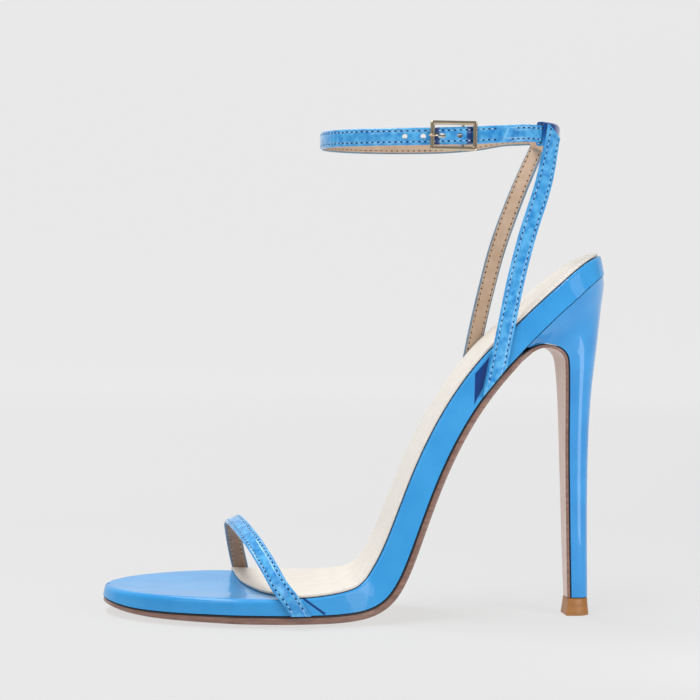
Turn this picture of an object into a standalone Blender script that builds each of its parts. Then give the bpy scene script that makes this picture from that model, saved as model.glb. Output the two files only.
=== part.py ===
"""A left foot's strappy sandal on a stiletto heel, about 120 mm high, standing on its sole.

The toe points to -X, the heel to +X, the shoe's outer side to -Y and up is +Z. The origin lies on the
floor, at the middle of the flat spot under the ball of the foot. All lengths are metres.
"""
import math

import bmesh
import bpy
import numpy as np
from mathutils import Vector

# Sole and heel
SOLE_LENGTH = 0.1818        # toe tip to the back of the heel seat, along the floor
BALL_PLACE = 0.365          # share of the span from the toe tip to the origin
HEEL_RISE = 0.1227          # how much higher the seat's back is than the ball
TOE_SPRING = 0.0027         # lift of the toe tip
BALL_WIDTH = 0.082
WAIST_WIDTH = 0.042
SEAT_WIDTH = 0.0465
TOE_ROUND = 0.050           # length over which the toe rounds off
HEEL_ROUND = 0.018          # the same at the back of the seat
DISH = 0.0012               # how far the sole's edges stand above its middle at the ball
INSOLE_THICK = 0.0088       # wrapped insole at the waist
TOE_EDGE = 0.0020           # roll of its upper edge in front of the toe strap
REAR_EDGE = 0.0009          # and behind it
SOCK_THICK = 0.0008
SOCK_INSET = 0.0009         # blue rim left beside the sock lining
OUTSOLE_THICK = 0.0030
FLAP_THICK = 0.0012         # outsole leather where it runs down the heel's front
OUTSOLE_INSET = 0.0004
SEAT_LENGTH = 0.0310        # heel breast to the back of the seat, along the floor
HEEL_TURN = math.radians(3) # the heel's front turns a little to the outer side
SEAT_LEAN = math.radians(15)
TOP_PIECE_HEIGHT = 0.0064
TOP_PIECE_FLARE = 0.0006
FLAT_SHARE = 0.35           # share of the half width that is flat across the sole

# Straps
STRAP_THICK = 0.0015
STRAP_BEVEL = 0.0004
TOE_STRAP_WIDTH = 0.0061
TOE_STRAP_RISE = 0.0240     # its middle over the insole
TOE_STRAP_CONE = 0.5        # forward slope of the toes that it lies on
ARM_WIDTH = 0.0064
ANKLE_STRAP_WIDTH = 0.0062
ANKLE_STRAP_THICK = 0.0014
ANKLE_ABOVE_SEAT = 0.0485
ANKLE_LENGTH = 0.0842       # strap loop, front to back
ANKLE_WIDTH = 0.0600        # strap loop, side to side
ANKLE_SQUARENESS = 2.35     # 2 is an ellipse
BACK_SQUARENESS = 3.1       # the same behind the loop's middle
BACK_LEAN = math.radians(5) # how far the strap's upper edge leans out at the loop's back
ANKLE_PLACE = 0.6579        # share of the span from the toe tip to the loop's middle
SLEEVE_WALL = 0.0009
SLEEVE_HALF_LENGTH = 0.0212 # to each side of the loop's back
ARM_TURN = 0.5               # how far an arm's end turns from the sleeve's direction to face sideways
ARM_SUNK = 0.0009           # how deep an arm's end is let into the sleeve
TIP_SLANT = 0.0036
TIP_REACH = 0.0208          # the free end goes this far past the buckle's middle
CHAPE_LENGTH = 0.0085       # the other end, folded round the centre bar
OVERLAP_START = 0.055       # where the free end begins to move out over the other, before the buckle
OVERLAP_RISE = 0.035        # and the length in which it does so
HOLE_DIAMETER = 0.0019
HOLE_PITCH = 0.0063

# Buckle
FRAME_LENGTH = 0.0163
FRAME_HEIGHT = 0.0105
FRAME_BAR = 0.0015
FRAME_DEPTH = 0.0013
FRAME_CORNER = 0.0007       # rounding of the frame's outer corners
FRAME_INNER_CORNER = 0.0002
BAR_RADIUS = 0.0006
PRONG_RADIUS = 0.00045
BUCKLE_PLACE = 0.0026       # the frame's middle, behind the loop's middle
BAR_OFFSET = 0.0038         # the centre bar, behind the frame's middle
PRONG_REACH = 0.0042        # the engaged hole, in front of the frame's middle
STRAP_BULGE = 0.0008        # how far the strap stands out between the frame's bars

CLEARANCE = 0.0003          # gap between touching pieces

# The seat line is the underside of the wrapped insole, along the sole's middle.
# along: share of SOLE_LENGTH; spring: share of TOE_SPRING; rise: share of HEEL_RISE.
SEAT_LINE = (
    # along, spring, rise
    (0.000, 1.00, 0.000),
    (0.019, 0.78, 0.000),
    (0.057, 0.41, 0.000),
    (0.140, 0.11, 0.000),
    (0.235, 0.04, 0.000),
    (0.288, 0.00, 0.000),
    (0.442, 0.00, 0.000),
    (0.481, 0.00, 0.004),
    (0.519, 0.00, 0.015),
    (0.557, 0.00, 0.047),
    (0.579, 0.00, 0.092),
    (0.597, 0.00, 0.150),
    (0.625, 0.00, 0.266),
    (0.657, 0.00, 0.392),
    (0.692, 0.00, 0.504),
    (0.725, 0.00, 0.590),
    (0.766, 0.00, 0.676),
    (0.819, 0.00, 0.765),
    (0.855, 0.00, 0.822),
    (0.915, 0.00, 0.907),
    (0.978, 0.00, 0.983),
    (1.000, 0.00, 1.000),
)

# insole: share of INSOLE_THICK; sole: share of OUTSOLE_THICK; dish: share of DISH.
THICKNESS = (
    # along, insole, sole, dish
    (0.000, 0.48, 0.47, 0.0),
    (0.035, 0.58, 0.60, 0.2),
    (0.090, 0.63, 0.74, 0.5),
    (0.140, 0.64, 0.83, 0.8),
    (0.235, 0.64, 0.96, 1.0),
    (0.288, 0.64, 1.00, 1.0),
    (0.393, 0.67, 1.00, 1.0),
    (0.442, 0.75, 1.00, 1.0),
    (0.503, 0.90, 1.00, 0.6),
    (0.541, 1.06, 1.00, 0.2),
    (0.579, 1.12, 0.95, 0.0),
    (0.607, 1.03, 0.90, 0.0),
    (0.640, 1.00, 0.88, 0.0),
    (0.783, 1.00, 0.84, 0.0),
    (0.855, 0.88, 0.60, 0.0),
    (0.978, 0.85, 0.60, 0.0),
    (1.000, 0.79, 0.60, 0.0),
)

# outer and inner: reach from the middle to each edge, share of the named size beside them.
PLAN = (
    # along, size, outer, inner
    (0.000, BALL_WIDTH, 0.455, 0.500),
    (0.130, BALL_WIDTH, 0.465, 0.505),
    (0.266, BALL_WIDTH, 0.485, 0.505),
    (0.349, BALL_WIDTH, 0.492, 0.475),
    (0.420, BALL_WIDTH, 0.470, 0.420),
    (0.475, BALL_WIDTH, 0.430, 0.365),
    (0.530, BALL_WIDTH, 0.378, 0.310),
    (0.585, WAIST_WIDTH, 0.660, 0.530),
    (0.640, WAIST_WIDTH, 0.595, 0.460),
    (0.695, WAIST_WIDTH, 0.560, 0.435),
    (0.750, WAIST_WIDTH, 0.555, 0.445),
    (0.805, SEAT_WIDTH, 0.510, 0.440),
    (0.860, SEAT_WIDTH, 0.515, 0.475),
    (0.900, SEAT_WIDTH, 0.510, 0.490),
    (1.000, SEAT_WIDTH, 0.500, 0.500),
)

# Sections of the heel under its seat, from the arch of the breast down to the top piece. front and back:
# way forward of the seat's back, share of SEAT_LENGTH; the heights are shares of the seat's height; width:
# share of SEAT_WIDTH; flat: share of the section's length before it rounds off.
HEEL = (
    # front, front_height, back, back_height, width, flat
    (0.942, 0.785, -0.006, 0.973, 0.882, 0.42),
    (0.852, 0.794, 0.006, 0.940, 0.792, 0.40),
    (0.761, 0.797, 0.023, 0.908, 0.702, 0.38),
    (0.665, 0.794, 0.035, 0.876, 0.629, 0.36),
    (0.568, 0.786, 0.048, 0.844, 0.571, 0.34),
    (0.494, 0.771, 0.061, 0.813, 0.522, 0.32),
    (0.455, 0.751, 0.074, 0.779, 0.486, 0.30),
    (0.442, 0.722, 0.090, 0.738, 0.445, 0.30),
    (0.426, 0.663, 0.119, 0.667, 0.380, 0.30),
    (0.413, 0.571, 0.139, 0.571, 0.318, 0.30),
    (0.400, 0.460, 0.148, 0.460, 0.273, 0.30),
    (0.377, 0.317, 0.145, 0.317, 0.245, 0.30),
    (0.355, 0.175, 0.132, 0.175, 0.216, 0.30),
    (0.332, 0.000, 0.119, 0.000, 0.188, 0.30),
)

# Front edge of the sock lining. across: -1 at the outer edge, 1 at the inner edge; along: share of
# SOLE_LENGTH.
SOCK_FRONT = (
    # across, along
    (-1.00, 0.381),
    (-0.62, 0.338),
    (-0.18, 0.303),
    (0.42, 0.273),
    (1.00, 0.258),
)

# Toe strap's middle line between its two roots. across: share of the half width; up: share of
# TOE_STRAP_RISE over the insole; along: share of SOLE_LENGTH.
TOE_STRAP_LINE = (
    # across, up, along
    (-0.91, 0.24, 0.347),
    (-0.79, 0.48, 0.328),
    (-0.52, 0.75, 0.302),
    (-0.19, 0.93, 0.278),
    (0.14, 1.00, 0.262),
    (0.47, 0.93, 0.257),
    (0.78, 0.68, 0.261),
    (0.94, 0.35, 0.269),
)
TOE_ROOT_OUTER = 0.388      # where its outer end meets the outsole, share of SOLE_LENGTH
TOE_RIM_OUTER = 0.365       # where it crosses the insole's upper edge
TOE_ROOT_INNER = 0.283
TOE_RIM_INNER = 0.277

# The two back straps, from the outsole up to the ankle. climb: share of the height climbed; bow: way
# forward, share of that height; lean: share of the way in from the sole's wall to the sleeve, and
# its square the share of the strap's turn to face as the sleeve does.
OUTER_ARM = (
    # climb, bow, lean
    (0.09, 0.001, 0.00),
    (0.18, 0.004, 0.00),
    (0.28, 0.007, 0.00),
    (0.42, 0.010, 0.06),
    (0.60, 0.004, 0.26),
    (0.80, -0.014, 0.60),
)
INNER_ARM = (
    # climb, bow, lean
    (0.09, 0.003, 0.00),
    (0.18, 0.010, 0.00),
    (0.28, 0.018, 0.00),
    (0.42, 0.028, 0.24),
    (0.60, 0.034, 0.54),
    (0.80, 0.020, 0.82),
)
OUTER_ARM_ROOT = 0.766      # share of SOLE_LENGTH
INNER_ARM_ROOT = 0.725
# From the loop's back to where each arm joins the sleeve, along the loop.
OUTER_ARM_SPREAD = 0.0216
INNER_ARM_SPREAD = 0.0184

# Height of the ankle strap around its loop. turn: share of the way round from the back, by the inner
# side first; lift: share of ANKLE_STRAP_WIDTH.
ANKLE_WAVE = (
    # turn, lift
    (0.00, -0.36),
    (0.02, -0.22),
    (0.05, 0.14),
    (0.09, 0.40),
    (0.13, 0.38),
    (0.18, 0.08),
    (0.25, -0.15),
    (0.40, -0.28),
    (0.50, -0.30),
    (0.60, -0.32),
    (0.75, -0.20),
    (0.82, -0.03),
    (0.88, 0.12),
    (0.93, 0.10),
    (0.98, -0.26),
    (1.00, -0.36),
)


def curve(xs, ys):
    """A smooth function through a table's rows that never overshoots them."""
    xs, ys = np.asarray(xs, float), np.asarray(ys, float)
    step = np.diff(xs)
    slope = np.diff(ys) / step
    tangent = np.zeros_like(xs)
    tangent[0], tangent[-1] = slope[0], slope[-1]
    for i in range(1, len(xs) - 1):
        if slope[i - 1] * slope[i] > 0:
            before, after = 2 * step[i] + step[i - 1], step[i] + 2 * step[i - 1]
            tangent[i] = (before + after) / (before / slope[i - 1] + after / slope[i])

    def value(x):
        x = min(max(x, xs[0]), xs[-1])
        i = min(int(np.searchsorted(xs, x, side="right")) - 1, len(step) - 1)
        t, h = (x - xs[i]) / step[i], step[i]
        return float(
            (1 + 2 * t) * (1 - t) ** 2 * ys[i] + t * (1 - t) ** 2 * h * tangent[i]
            + t * t * (3 - 2 * t) * ys[i + 1] + t * t * (t - 1) * h * tangent[i + 1]
        )

    return value


def place(along):
    """X of a share of the sole's span."""
    return (along - BALL_PLACE) * SOLE_LENGTH


def table_curve(table, column, size=1.0):
    return curve([place(row[0]) for row in table], [row[column] * size for row in table])


FLOOR_SEAT = OUTSOLE_THICK + CLEARANCE
TOE_X, BACK_X = place(0.0), place(1.0)
spring_at = table_curve(SEAT_LINE, 1, TOE_SPRING)
rise_at = table_curve(SEAT_LINE, 2, HEEL_RISE)
insole_at = table_curve(THICKNESS, 1, INSOLE_THICK)
outsole_at = table_curve(THICKNESS, 2, OUTSOLE_THICK)
dish_at = table_curve(THICKNESS, 3, DISH)
width_at = curve([place(row[0]) for row in PLAN], [row[1] * (row[2] + row[3]) for row in PLAN])
shift_at = curve([place(row[0]) for row in PLAN], [row[1] * (row[3] - row[2]) / 2 for row in PLAN])
lean_at = curve([place(0.90), BACK_X], [0.0, SEAT_LEAN])
edge_at = curve([place(0.30), place(0.41)], [TOE_EDGE, REAR_EDGE])


def seat_height(x):
    return FLOOR_SEAT + spring_at(x) + rise_at(x)


def unit(v):
    v = np.asarray(v, float)
    return v / np.linalg.norm(v)


def seat_normal(x):
    """Direction across the insole's thickness at a station, in the XZ plane."""
    step = 0.0005
    low, high = max(x - step, TOE_X), min(x + step, BACK_X)
    angle = math.atan2(seat_height(high) - seat_height(low), high - low) - lean_at(x)
    return np.array([-math.sin(angle), 0.0, math.cos(angle)])


def rounding(distance, length):
    """Share of the full width at a distance from a rounded end."""
    if distance >= length:
        return 1.0
    return math.sqrt(max(1 - (1 - distance / length) ** 2, 1e-4))


def half_width(x, inset=0.0):
    toe = rounding(max(x - TOE_X - inset, 0.0), TOE_ROUND - inset)
    back = rounding(max(BACK_X - inset - x, 0.0), HEEL_ROUND - inset)
    return (width_at(x) / 2 - inset) * toe * back


def sole_point(x, across, lift, inset=0.0):
    """A point at a station, across the sole from -1 (outer) to 1 (inner), over the insole's underside."""
    side = max((abs(across) - FLAT_SHARE) / (1 - FLAT_SHARE), 0.0)
    base = np.array([x, shift_at(x) + across * half_width(x, inset), seat_height(x)])
    return base + seat_normal(x) * (lift + dish_at(x) * side)


def stations(start, end, step):
    """Stations along the seat line, evenly spaced by its own length."""
    xs = np.linspace(start, end, 400)
    zs = np.array([seat_height(x) for x in xs])
    run = np.concatenate(([0.0], np.cumsum(np.hypot(np.diff(xs), np.diff(zs)))))
    count = max(int(round(run[-1] / step)), 1)
    return list(np.interp(np.linspace(0, run[-1], count + 1), run, xs))


def round_stations(length, count):
    """Distances from a rounded end, close together where the outline turns fast."""
    return [length * (1 - math.cos(math.radians(4 + 86 * k / count))) for k in range(count)]


def new_object(name, bm, material):
    bmesh.ops.recalc_face_normals(bm, faces=bm.faces[:])
    mesh = bpy.data.meshes.new(name)
    bm.to_mesh(mesh)
    bm.free()
    thing = bpy.data.objects.new(name, mesh)
    bpy.context.scene.collection.objects.link(thing)
    if material:
        mesh.materials.append(material)
    mesh.shade_smooth()
    mesh.set_sharp_from_angle(angle=math.radians(32))
    return thing


def skin(name, rings, material, closed=False):
    """A solid through rings of points. A ring's k-th point lies across from its k-th last one."""
    bm = bmesh.new()
    grid = [[bm.verts.new(Vector(point)) for point in ring] for ring in rings]
    size = len(grid[0])
    pairs = list(zip(grid, grid[1:])) + ([(grid[-1], grid[0])] if closed else [])
    for one, two in pairs:
        for k in range(size):
            following = (k + 1) % size
            bm.faces.new((one[k], one[following], two[following], two[k]))
    for ring in () if closed else (grid[0], grid[-1]):
        for k in range(size // 2 - 1):
            bm.faces.new((ring[k], ring[k + 1], ring[size - 2 - k], ring[size - 1 - k]))
    return new_object(name, bm, material)


def mirrored(half):
    """Adds the other side's points, in reverse, to points listed for the outer side."""
    return half + [(-across, lift) for across, lift in reversed(half)]


def paint(name, colour, roughness, metallic=0.0, coat=0.0):
    material = bpy.data.materials.new(name)
    material.use_nodes = True
    shader = material.node_tree.nodes["Principled BSDF"]
    shader.inputs["Base Color"].default_value = (*colour, 1.0)
    shader.inputs["Roughness"].default_value = roughness
    shader.inputs["Metallic"].default_value = metallic
    shader.inputs["Coat Weight"].default_value = coat
    return material


def sole_stations():
    toe = [TOE_X + d for d in round_stations(TOE_ROUND, 9)]
    back = [BACK_X - d for d in round_stations(HEEL_ROUND, 8)]
    return toe + stations(TOE_X + TOE_ROUND, BACK_X - HEEL_ROUND, 0.0058) + back[::-1]


def make_insole(material):
    rings = []
    for x in sole_stations():
        half, thick = half_width(x), insole_at(x)
        roll = min(edge_at(x), 0.45 * half, 0.45 * thick)
        side = [
            (-FLAT_SHARE, thick),
            (-(1 - roll / half), thick),
            (-(1 - 0.3 * roll / half), thick - 0.3 * roll),
            (-1.0, thick - roll),
            (-1.0, 0.0),
            (-FLAT_SHARE, 0.0),
        ]
        rings.append([sole_point(x, across, lift) for across, lift in mirrored(side)])
    return skin("wrapped_insole", rings, material)


def make_sock(material):
    front = curve([row[0] for row in SOCK_FRONT], [place(row[1]) for row in SOCK_FRONT])
    join = place(0.45)
    columns = [-1.0, -0.68, -FLAT_SHARE, 0.0]
    columns += [-across for across in reversed(columns[:-1])]
    back = [BACK_X - SOCK_INSET - d for d in round_stations(HEEL_ROUND - SOCK_INSET, 8)]
    rear = stations(join, BACK_X - HEEL_ROUND, 0.0058)[1:] + back[::-1]
    rows = [[front(across) + (join - front(across)) * k / 5 for across in columns] for k in range(6)]
    rows += [[x] * len(columns) for x in rear]

    def at(x, across, lift):
        return sole_point(x, across, insole_at(x) + CLEARANCE + lift, SOCK_INSET)

    return sheet("sock_lining", rows, columns, at, material)


def sheet(name, rows, columns, at, material):
    """A sheet with a top, a bottom and an edge, laid on the insole in rows and columns."""
    bm = bmesh.new()
    layers = []
    for lift in (0.0, SOCK_THICK):
        layers.append([[bm.verts.new(Vector(at(x, c, lift))) for x, c in zip(row, columns)] for row in rows])
    for layer in layers:
        for one, two in zip(layer, layer[1:]):
            for k in range(len(columns) - 1):
                bm.faces.new((one[k], one[k + 1], two[k + 1], two[k]))
    low, high = layers
    rim_low = low[0] + [row[-1] for row in low[1:]] + low[-1][-2::-1] + [row[0] for row in low[-2:0:-1]]
    rim_high = high[0] + [row[-1] for row in high[1:]] + high[-1][-2::-1] + [row[0] for row in high[-2:0:-1]]
    for k in range(len(rim_low)):
        following = (k + 1) % len(rim_low)
        bm.faces.new((rim_low[k], rim_low[following], rim_high[following], rim_high[k]))
    return new_object(name, bm, material)


def heel_sections():
    """The heel's table in metres, each row a dict of named lengths."""
    top = FLOOR_SEAT + HEEL_RISE
    foot = TOP_PIECE_HEIGHT + CLEARANCE
    rows = []
    for front, front_height, back, back_height, width, flat in HEEL:
        rows.append({
            "front": (BACK_X - front * SEAT_LENGTH, max(front_height * top, foot)),
            "back": (BACK_X - back * SEAT_LENGTH, max(back_height * top, foot)),
            "half": width * SEAT_WIDTH / 2,
            "flat": flat,
        })
    return rows


def smooth_rows(values, count):
    """More rows between a table's rows, by a smooth curve over their order."""
    order = list(range(len(values)))
    curves = [curve(order, [row[k] for row in values]) for k in range(len(values[0]))]
    return [[f(t) for f in curves] for t in np.linspace(0, len(values) - 1, count)]


def heel_rows(count=30):
    rows = [[*r["front"], *r["back"], r["half"], r["flat"]] for r in heel_sections()]
    turned = []
    for k, row in enumerate(smooth_rows(rows, count)):
        turned.append(row + [math.tan(HEEL_TURN) * min(k / (0.4 * count), 1.0)])
    return turned


def heel_ring(row, spread=0.0, depth=0.0):
    """One D-shaped section: flat across the front, round at the back."""
    front_x, front_z, back_x, back_z, half, flat, turn = row
    front, back = np.array([front_x, 0.0, front_z]), np.array([back_x, 0.0, back_z])
    line = unit(back - front)
    front, back = front - line * (depth + spread), back + line * spread
    shares = [0.0, 0.5 * flat, flat]
    shares += [flat + (1 - flat) * math.sin(math.radians(a)) for a in (20, 38, 54, 68, 79, 86)]
    left, right = [], []
    for share in shares:
        bend = max((share - flat) / (1 - flat), 0.0)
        across = (half + spread) * math.sqrt(1 - bend ** 2)
        middle = front + (back - front) * share
        left.append(middle + np.array([across * turn, -across, 0.0]))
        right.append(middle + np.array([-across * turn, across, 0.0]))
    return left + right[::-1]


def breast_x():
    return BACK_X - SEAT_LENGTH


def make_heel(material):
    shares = [0.0, 0.21, 0.42] + [0.42 + 0.58 * math.sin(math.radians(a)) for a in (20, 38, 54, 68, 79, 86)]
    inset = OUTSOLE_INSET
    end = BACK_X - inset
    left = [sole_point(breast_x() + (end - breast_x()) * s, -1.0, -CLEARANCE, inset) for s in shares]
    right = [sole_point(breast_x() + (end - breast_x()) * s, 1.0, -CLEARANCE, inset) for s in shares]
    rings = [left + right[::-1]] + [heel_ring(row) for row in heel_rows()]
    return skin("heel", rings, material)


def make_top_piece(material):
    foot = heel_rows()[-1]
    cover = CLEARANCE + FLAP_THICK
    rings = []
    for height, spread in ((TOP_PIECE_HEIGHT, 0.0), (0.5 * TOP_PIECE_HEIGHT, 0.5 * TOP_PIECE_FLARE),
                           (0.0, TOP_PIECE_FLARE)):
        row = [foot[0], height, foot[2], height, *foot[4:]]
        rings.append(heel_ring(row, spread, cover))
    return skin("top_piece", rings, material)


def sole_path():
    """Middle line of the outsole's upper face: under the insole, round the arch and down the breast.

    Each entry holds the point, the direction towards what it covers, the half width, the sideways
    shift, the dish, the thickness and the turn of the heel.
    """
    path = []
    toe = [TOE_X + OUTSOLE_INSET + d for d in round_stations(TOE_ROUND, 9)]
    for x in toe + stations(TOE_X + TOE_ROUND, breast_x() - 0.0035, 0.0058):
        normal = seat_normal(x)
        point = np.array([x, 0.0, seat_height(x)]) - normal * CLEARANCE
        half = half_width(x, OUTSOLE_INSET)
        path.append((point, normal, half, shift_at(x), dish_at(x), outsole_at(x), 0.0))
    rows = heel_rows()
    fronts = [np.array([row[0], 0.0, row[1]]) for row in rows]
    for k, row in enumerate(rows):
        before, after = fronts[max(k - 1, 0)], fronts[min(k + 1, len(rows) - 1)]
        run = unit(after - before)
        normal = np.array([-run[2], 0.0, run[0]])
        point = fronts[k] - normal * CLEARANCE
        fade = max(1 - k / 6, 0.0)
        thick = FLAP_THICK + fade * 0.5 * (outsole_at(breast_x()) - FLAP_THICK)
        shift = shift_at(breast_x()) * max(1 - k / 4, 0.0)
        path.append((point, normal, row[4] - OUTSOLE_INSET, shift, 0.0, thick, row[6]))
    return path


def make_outsole(material):
    rings = []
    for point, normal, half, shift, dish, thick, turn in sole_path():
        bevel = min(0.25 * thick, 0.2 * half)
        side = [
            (-FLAT_SHARE, 0.0),
            (-1.0, 0.0),
            (-1.0, -thick + bevel),
            (-(1 - bevel / half), -thick),
            (-FLAT_SHARE, -thick),
        ]
        ring = []
        for across, lift in mirrored(side):
            raised = dish * max((abs(across) - FLAT_SHARE) / (1 - FLAT_SHARE), 0.0)
            y = across * half
            ring.append(point + normal * (lift + raised) + np.array([-y * turn, shift + y, 0.0]))
        rings.append(ring)
    return skin("outsole", rings, material)


def spline(points, step):
    """Points evenly spaced on a smooth curve through the given points."""
    points = [np.asarray(p, float) for p in points]
    padded = [2 * points[0] - points[1]] + points + [2 * points[-1] - points[-2]]
    dense = []
    for p0, p1, p2, p3 in zip(padded, padded[1:], padded[2:], padded[3:]):
        for t in np.linspace(0, 1, 16, endpoint=False):
            dense.append(0.5 * (2 * p1 + (p2 - p0) * t + (2 * p0 - 5 * p1 + 4 * p2 - p3) * t ** 2
                                + (3 * p1 - p0 - 3 * p2 + p3) * t ** 3))
    dense = np.array(dense + [points[-1]])
    run = np.concatenate(([0.0], np.cumsum(np.linalg.norm(np.diff(dense[:, :3], axis=0), axis=1))))
    count = max(int(round(run[-1] / step)), 2)
    at = np.linspace(0, run[-1], count + 1)
    return np.stack([np.interp(at, run, dense[:, k]) for k in range(dense.shape[1])], axis=1)


def strap_section(width, thick):
    """A strap's section as (across, out) points, paired for its end caps."""
    w, t, b = width / 2, thick / 2, STRAP_BEVEL
    half = [(-w + b, t), (-w, t - b), (-w, -t + b), (-w + b, -t)]
    return half + [(-across, out) for across, out in reversed(half)]


def tangents(points):
    ahead = np.vstack([points[1:], 2 * points[-1:] - points[-2:-1]])
    behind = np.vstack([2 * points[:1] - points[1:2], points[:-1]])
    return [unit(a - b) for a, b in zip(ahead, behind)]


def band(points, normals, width):
    """Rings of a flat strap along a line of points, with its face towards the normals."""
    rings, runs = [], tangents(points)
    for point, run, normal in zip(points, runs, normals):
        face = unit(normal - np.dot(normal, run) * run)
        across = np.cross(run, face)
        rings.append([point + across * a + face * o for a, o in strap_section(width, STRAP_THICK)])
    return rings, runs


def cut_end(ring, run, point, normal):
    """Slides an end ring's points along the strap on to a plane."""
    return [p + run * (np.dot(point - p, normal) / np.dot(run, normal)) for p in ring]


def wall(x, z, side):
    """Y of the insole's wall beside a point of its side view, its outward direction and its hollow."""
    xs = np.linspace(TOE_X, BACK_X, 500)
    off = [abs((x - s) * seat_normal(s)[2] - (z - seat_height(s)) * seat_normal(s)[0]) for s in xs]
    near = [o if math.hypot(x - s, z - seat_height(s)) < 0.020 else 1.0 for o, s in zip(off, xs)]
    station = float(xs[int(np.argmin(near))])
    step = ARM_WIDTH / 2

    def edge(s):
        return shift_at(s) + side * half_width(s)

    behind, here, ahead = edge(station - step), edge(station), edge(station + step)
    slope = (ahead - behind) / (2 * step)
    hollow = max(side * (behind + slope * step - here), side * (ahead - slope * step - here), 0.0)
    return here, unit([-slope * side, side, 0.0]), hollow


def on_wall(x, z, side):
    """A strap's middle where it lies flat on the insole's wall, and its face's direction."""
    y, out, hollow = wall(x, z, side)
    return np.array([x, y, z]) + out * (CLEARANCE + hollow + STRAP_THICK / 2), out


def make_toe_strap(material):
    points, faces = [], []

    def add_wall(along, lift_share, side):
        x = place(along)
        lift = sole_point(x, side, insole_at(x) * lift_share)
        point, out = on_wall(lift[0], lift[2], side)
        points.append(point)
        faces.append(out)

    add_wall(TOE_ROOT_OUTER, 0.0, -1)
    add_wall((TOE_ROOT_OUTER + TOE_RIM_OUTER) / 2, 0.55, -1)
    add_wall(TOE_RIM_OUTER, 1.1, -1)
    reach = BALL_WIDTH / 2 + CLEARANCE + STRAP_THICK / 2
    for across, up, along in TOE_STRAP_LINE:
        x = place(along)
        z = seat_height(x) + insole_at(x) + up * TOE_STRAP_RISE
        points.append(np.array([x, shift_at(x) + across * reach, z]))
        up_face = math.sqrt(max(1 - across ** 2, 0.0))
        faces.append(unit([-TOE_STRAP_CONE * up_face, across, up_face]))
    add_wall(TOE_RIM_INNER, 1.1, 1)
    add_wall((TOE_ROOT_INNER + TOE_RIM_INNER) / 2, 0.55, 1)
    add_wall(TOE_ROOT_INNER, 0.0, 1)
    line = spline([np.concatenate((p, f)) for p, f in zip(points, faces)], 0.0030)
    spots = line[:, :3]
    rings, runs = band(spots, line[:, 3:], TOE_STRAP_WIDTH)
    for end, along, side in ((0, TOE_ROOT_OUTER, -1), (-1, TOE_ROOT_INNER, 1)):
        x = place(along)
        rings[end] = cut_end(rings[end], runs[end], sole_point(x, side, 0.0), seat_normal(x))
    return skin("toe_strap", rings, material)


def ankle_loop():
    """The ankle loop seen from above, from its back round the inner side, as points by length."""
    turn = np.linspace(0, 2 * math.pi, 721)
    power = 2 / np.where(np.cos(turn) > 0, BACK_SQUARENESS, ANKLE_SQUARENESS)
    x = place(ANKLE_PLACE) + ANKLE_LENGTH / 2 * np.sign(np.cos(turn)) * np.abs(np.cos(turn)) ** power
    y = ANKLE_WIDTH / 2 * np.sign(np.sin(turn)) * np.abs(np.sin(turn)) ** power
    run = np.concatenate(([0.0], np.cumsum(np.hypot(np.diff(x), np.diff(y)))))
    return x, y, run


LOOP_X, LOOP_Y, LOOP_RUN = ankle_loop()
LOOP_LENGTH = LOOP_RUN[-1]
ankle_wave = curve([row[0] for row in ANKLE_WAVE], [row[1] * ANKLE_STRAP_WIDTH for row in ANKLE_WAVE])


def loop_point(run, out=0.0):
    """A point beside the ankle loop: way round it and way outward; with the outward direction."""
    turn = run % LOOP_LENGTH

    def at(r):
        r = r % LOOP_LENGTH
        return np.array([np.interp(r, LOOP_RUN, LOOP_X), np.interp(r, LOOP_RUN, LOOP_Y), 0.0])

    step = 0.0012
    ahead = unit(at(turn + step) - at(turn - step))
    outward = np.array([ahead[1], -ahead[0], 0.0])
    height = FLOOR_SEAT + HEEL_RISE + ANKLE_ABOVE_SEAT + ankle_wave(turn / LOOP_LENGTH)
    return at(turn) + outward * out + np.array([0.0, 0.0, height]), outward


def loop_up(run, outward):
    """The way across the strap at a place of the loop: upright, but leaning out at the back."""
    back = max(math.cos(2 * math.pi * run / LOOP_LENGTH), 0.0) ** 4
    return unit(np.array([0.0, 0.0, 1.0]) + outward * math.tan(BACK_LEAN) * back)


def outer_run(x):
    """Way round the loop to a given X on its outer side."""
    outer = LOOP_Y < 0
    order = np.argsort(LOOP_X[outer])
    return float(np.interp(x, LOOP_X[outer][order], LOOP_RUN[outer][order]))


BUCKLE_RUN = outer_run(place(ANKLE_PLACE) + BUCKLE_PLACE)
BAR_RUN = BUCKLE_RUN + BAR_OFFSET
LAYER = ANKLE_STRAP_THICK + CLEARANCE                      # one strap's thickness and a gap
FOLD_RADIUS = BAR_RADIUS + CLEARANCE + ANKLE_STRAP_THICK / 2
FRAME_OUT = LAYER + ANKLE_STRAP_THICK / 2 + CLEARANCE + FRAME_DEPTH / 2
TIP_RUN = BUCKLE_RUN + TIP_REACH
ENGAGED_HOLE_RUN = BUCKLE_RUN - PRONG_REACH


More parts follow.
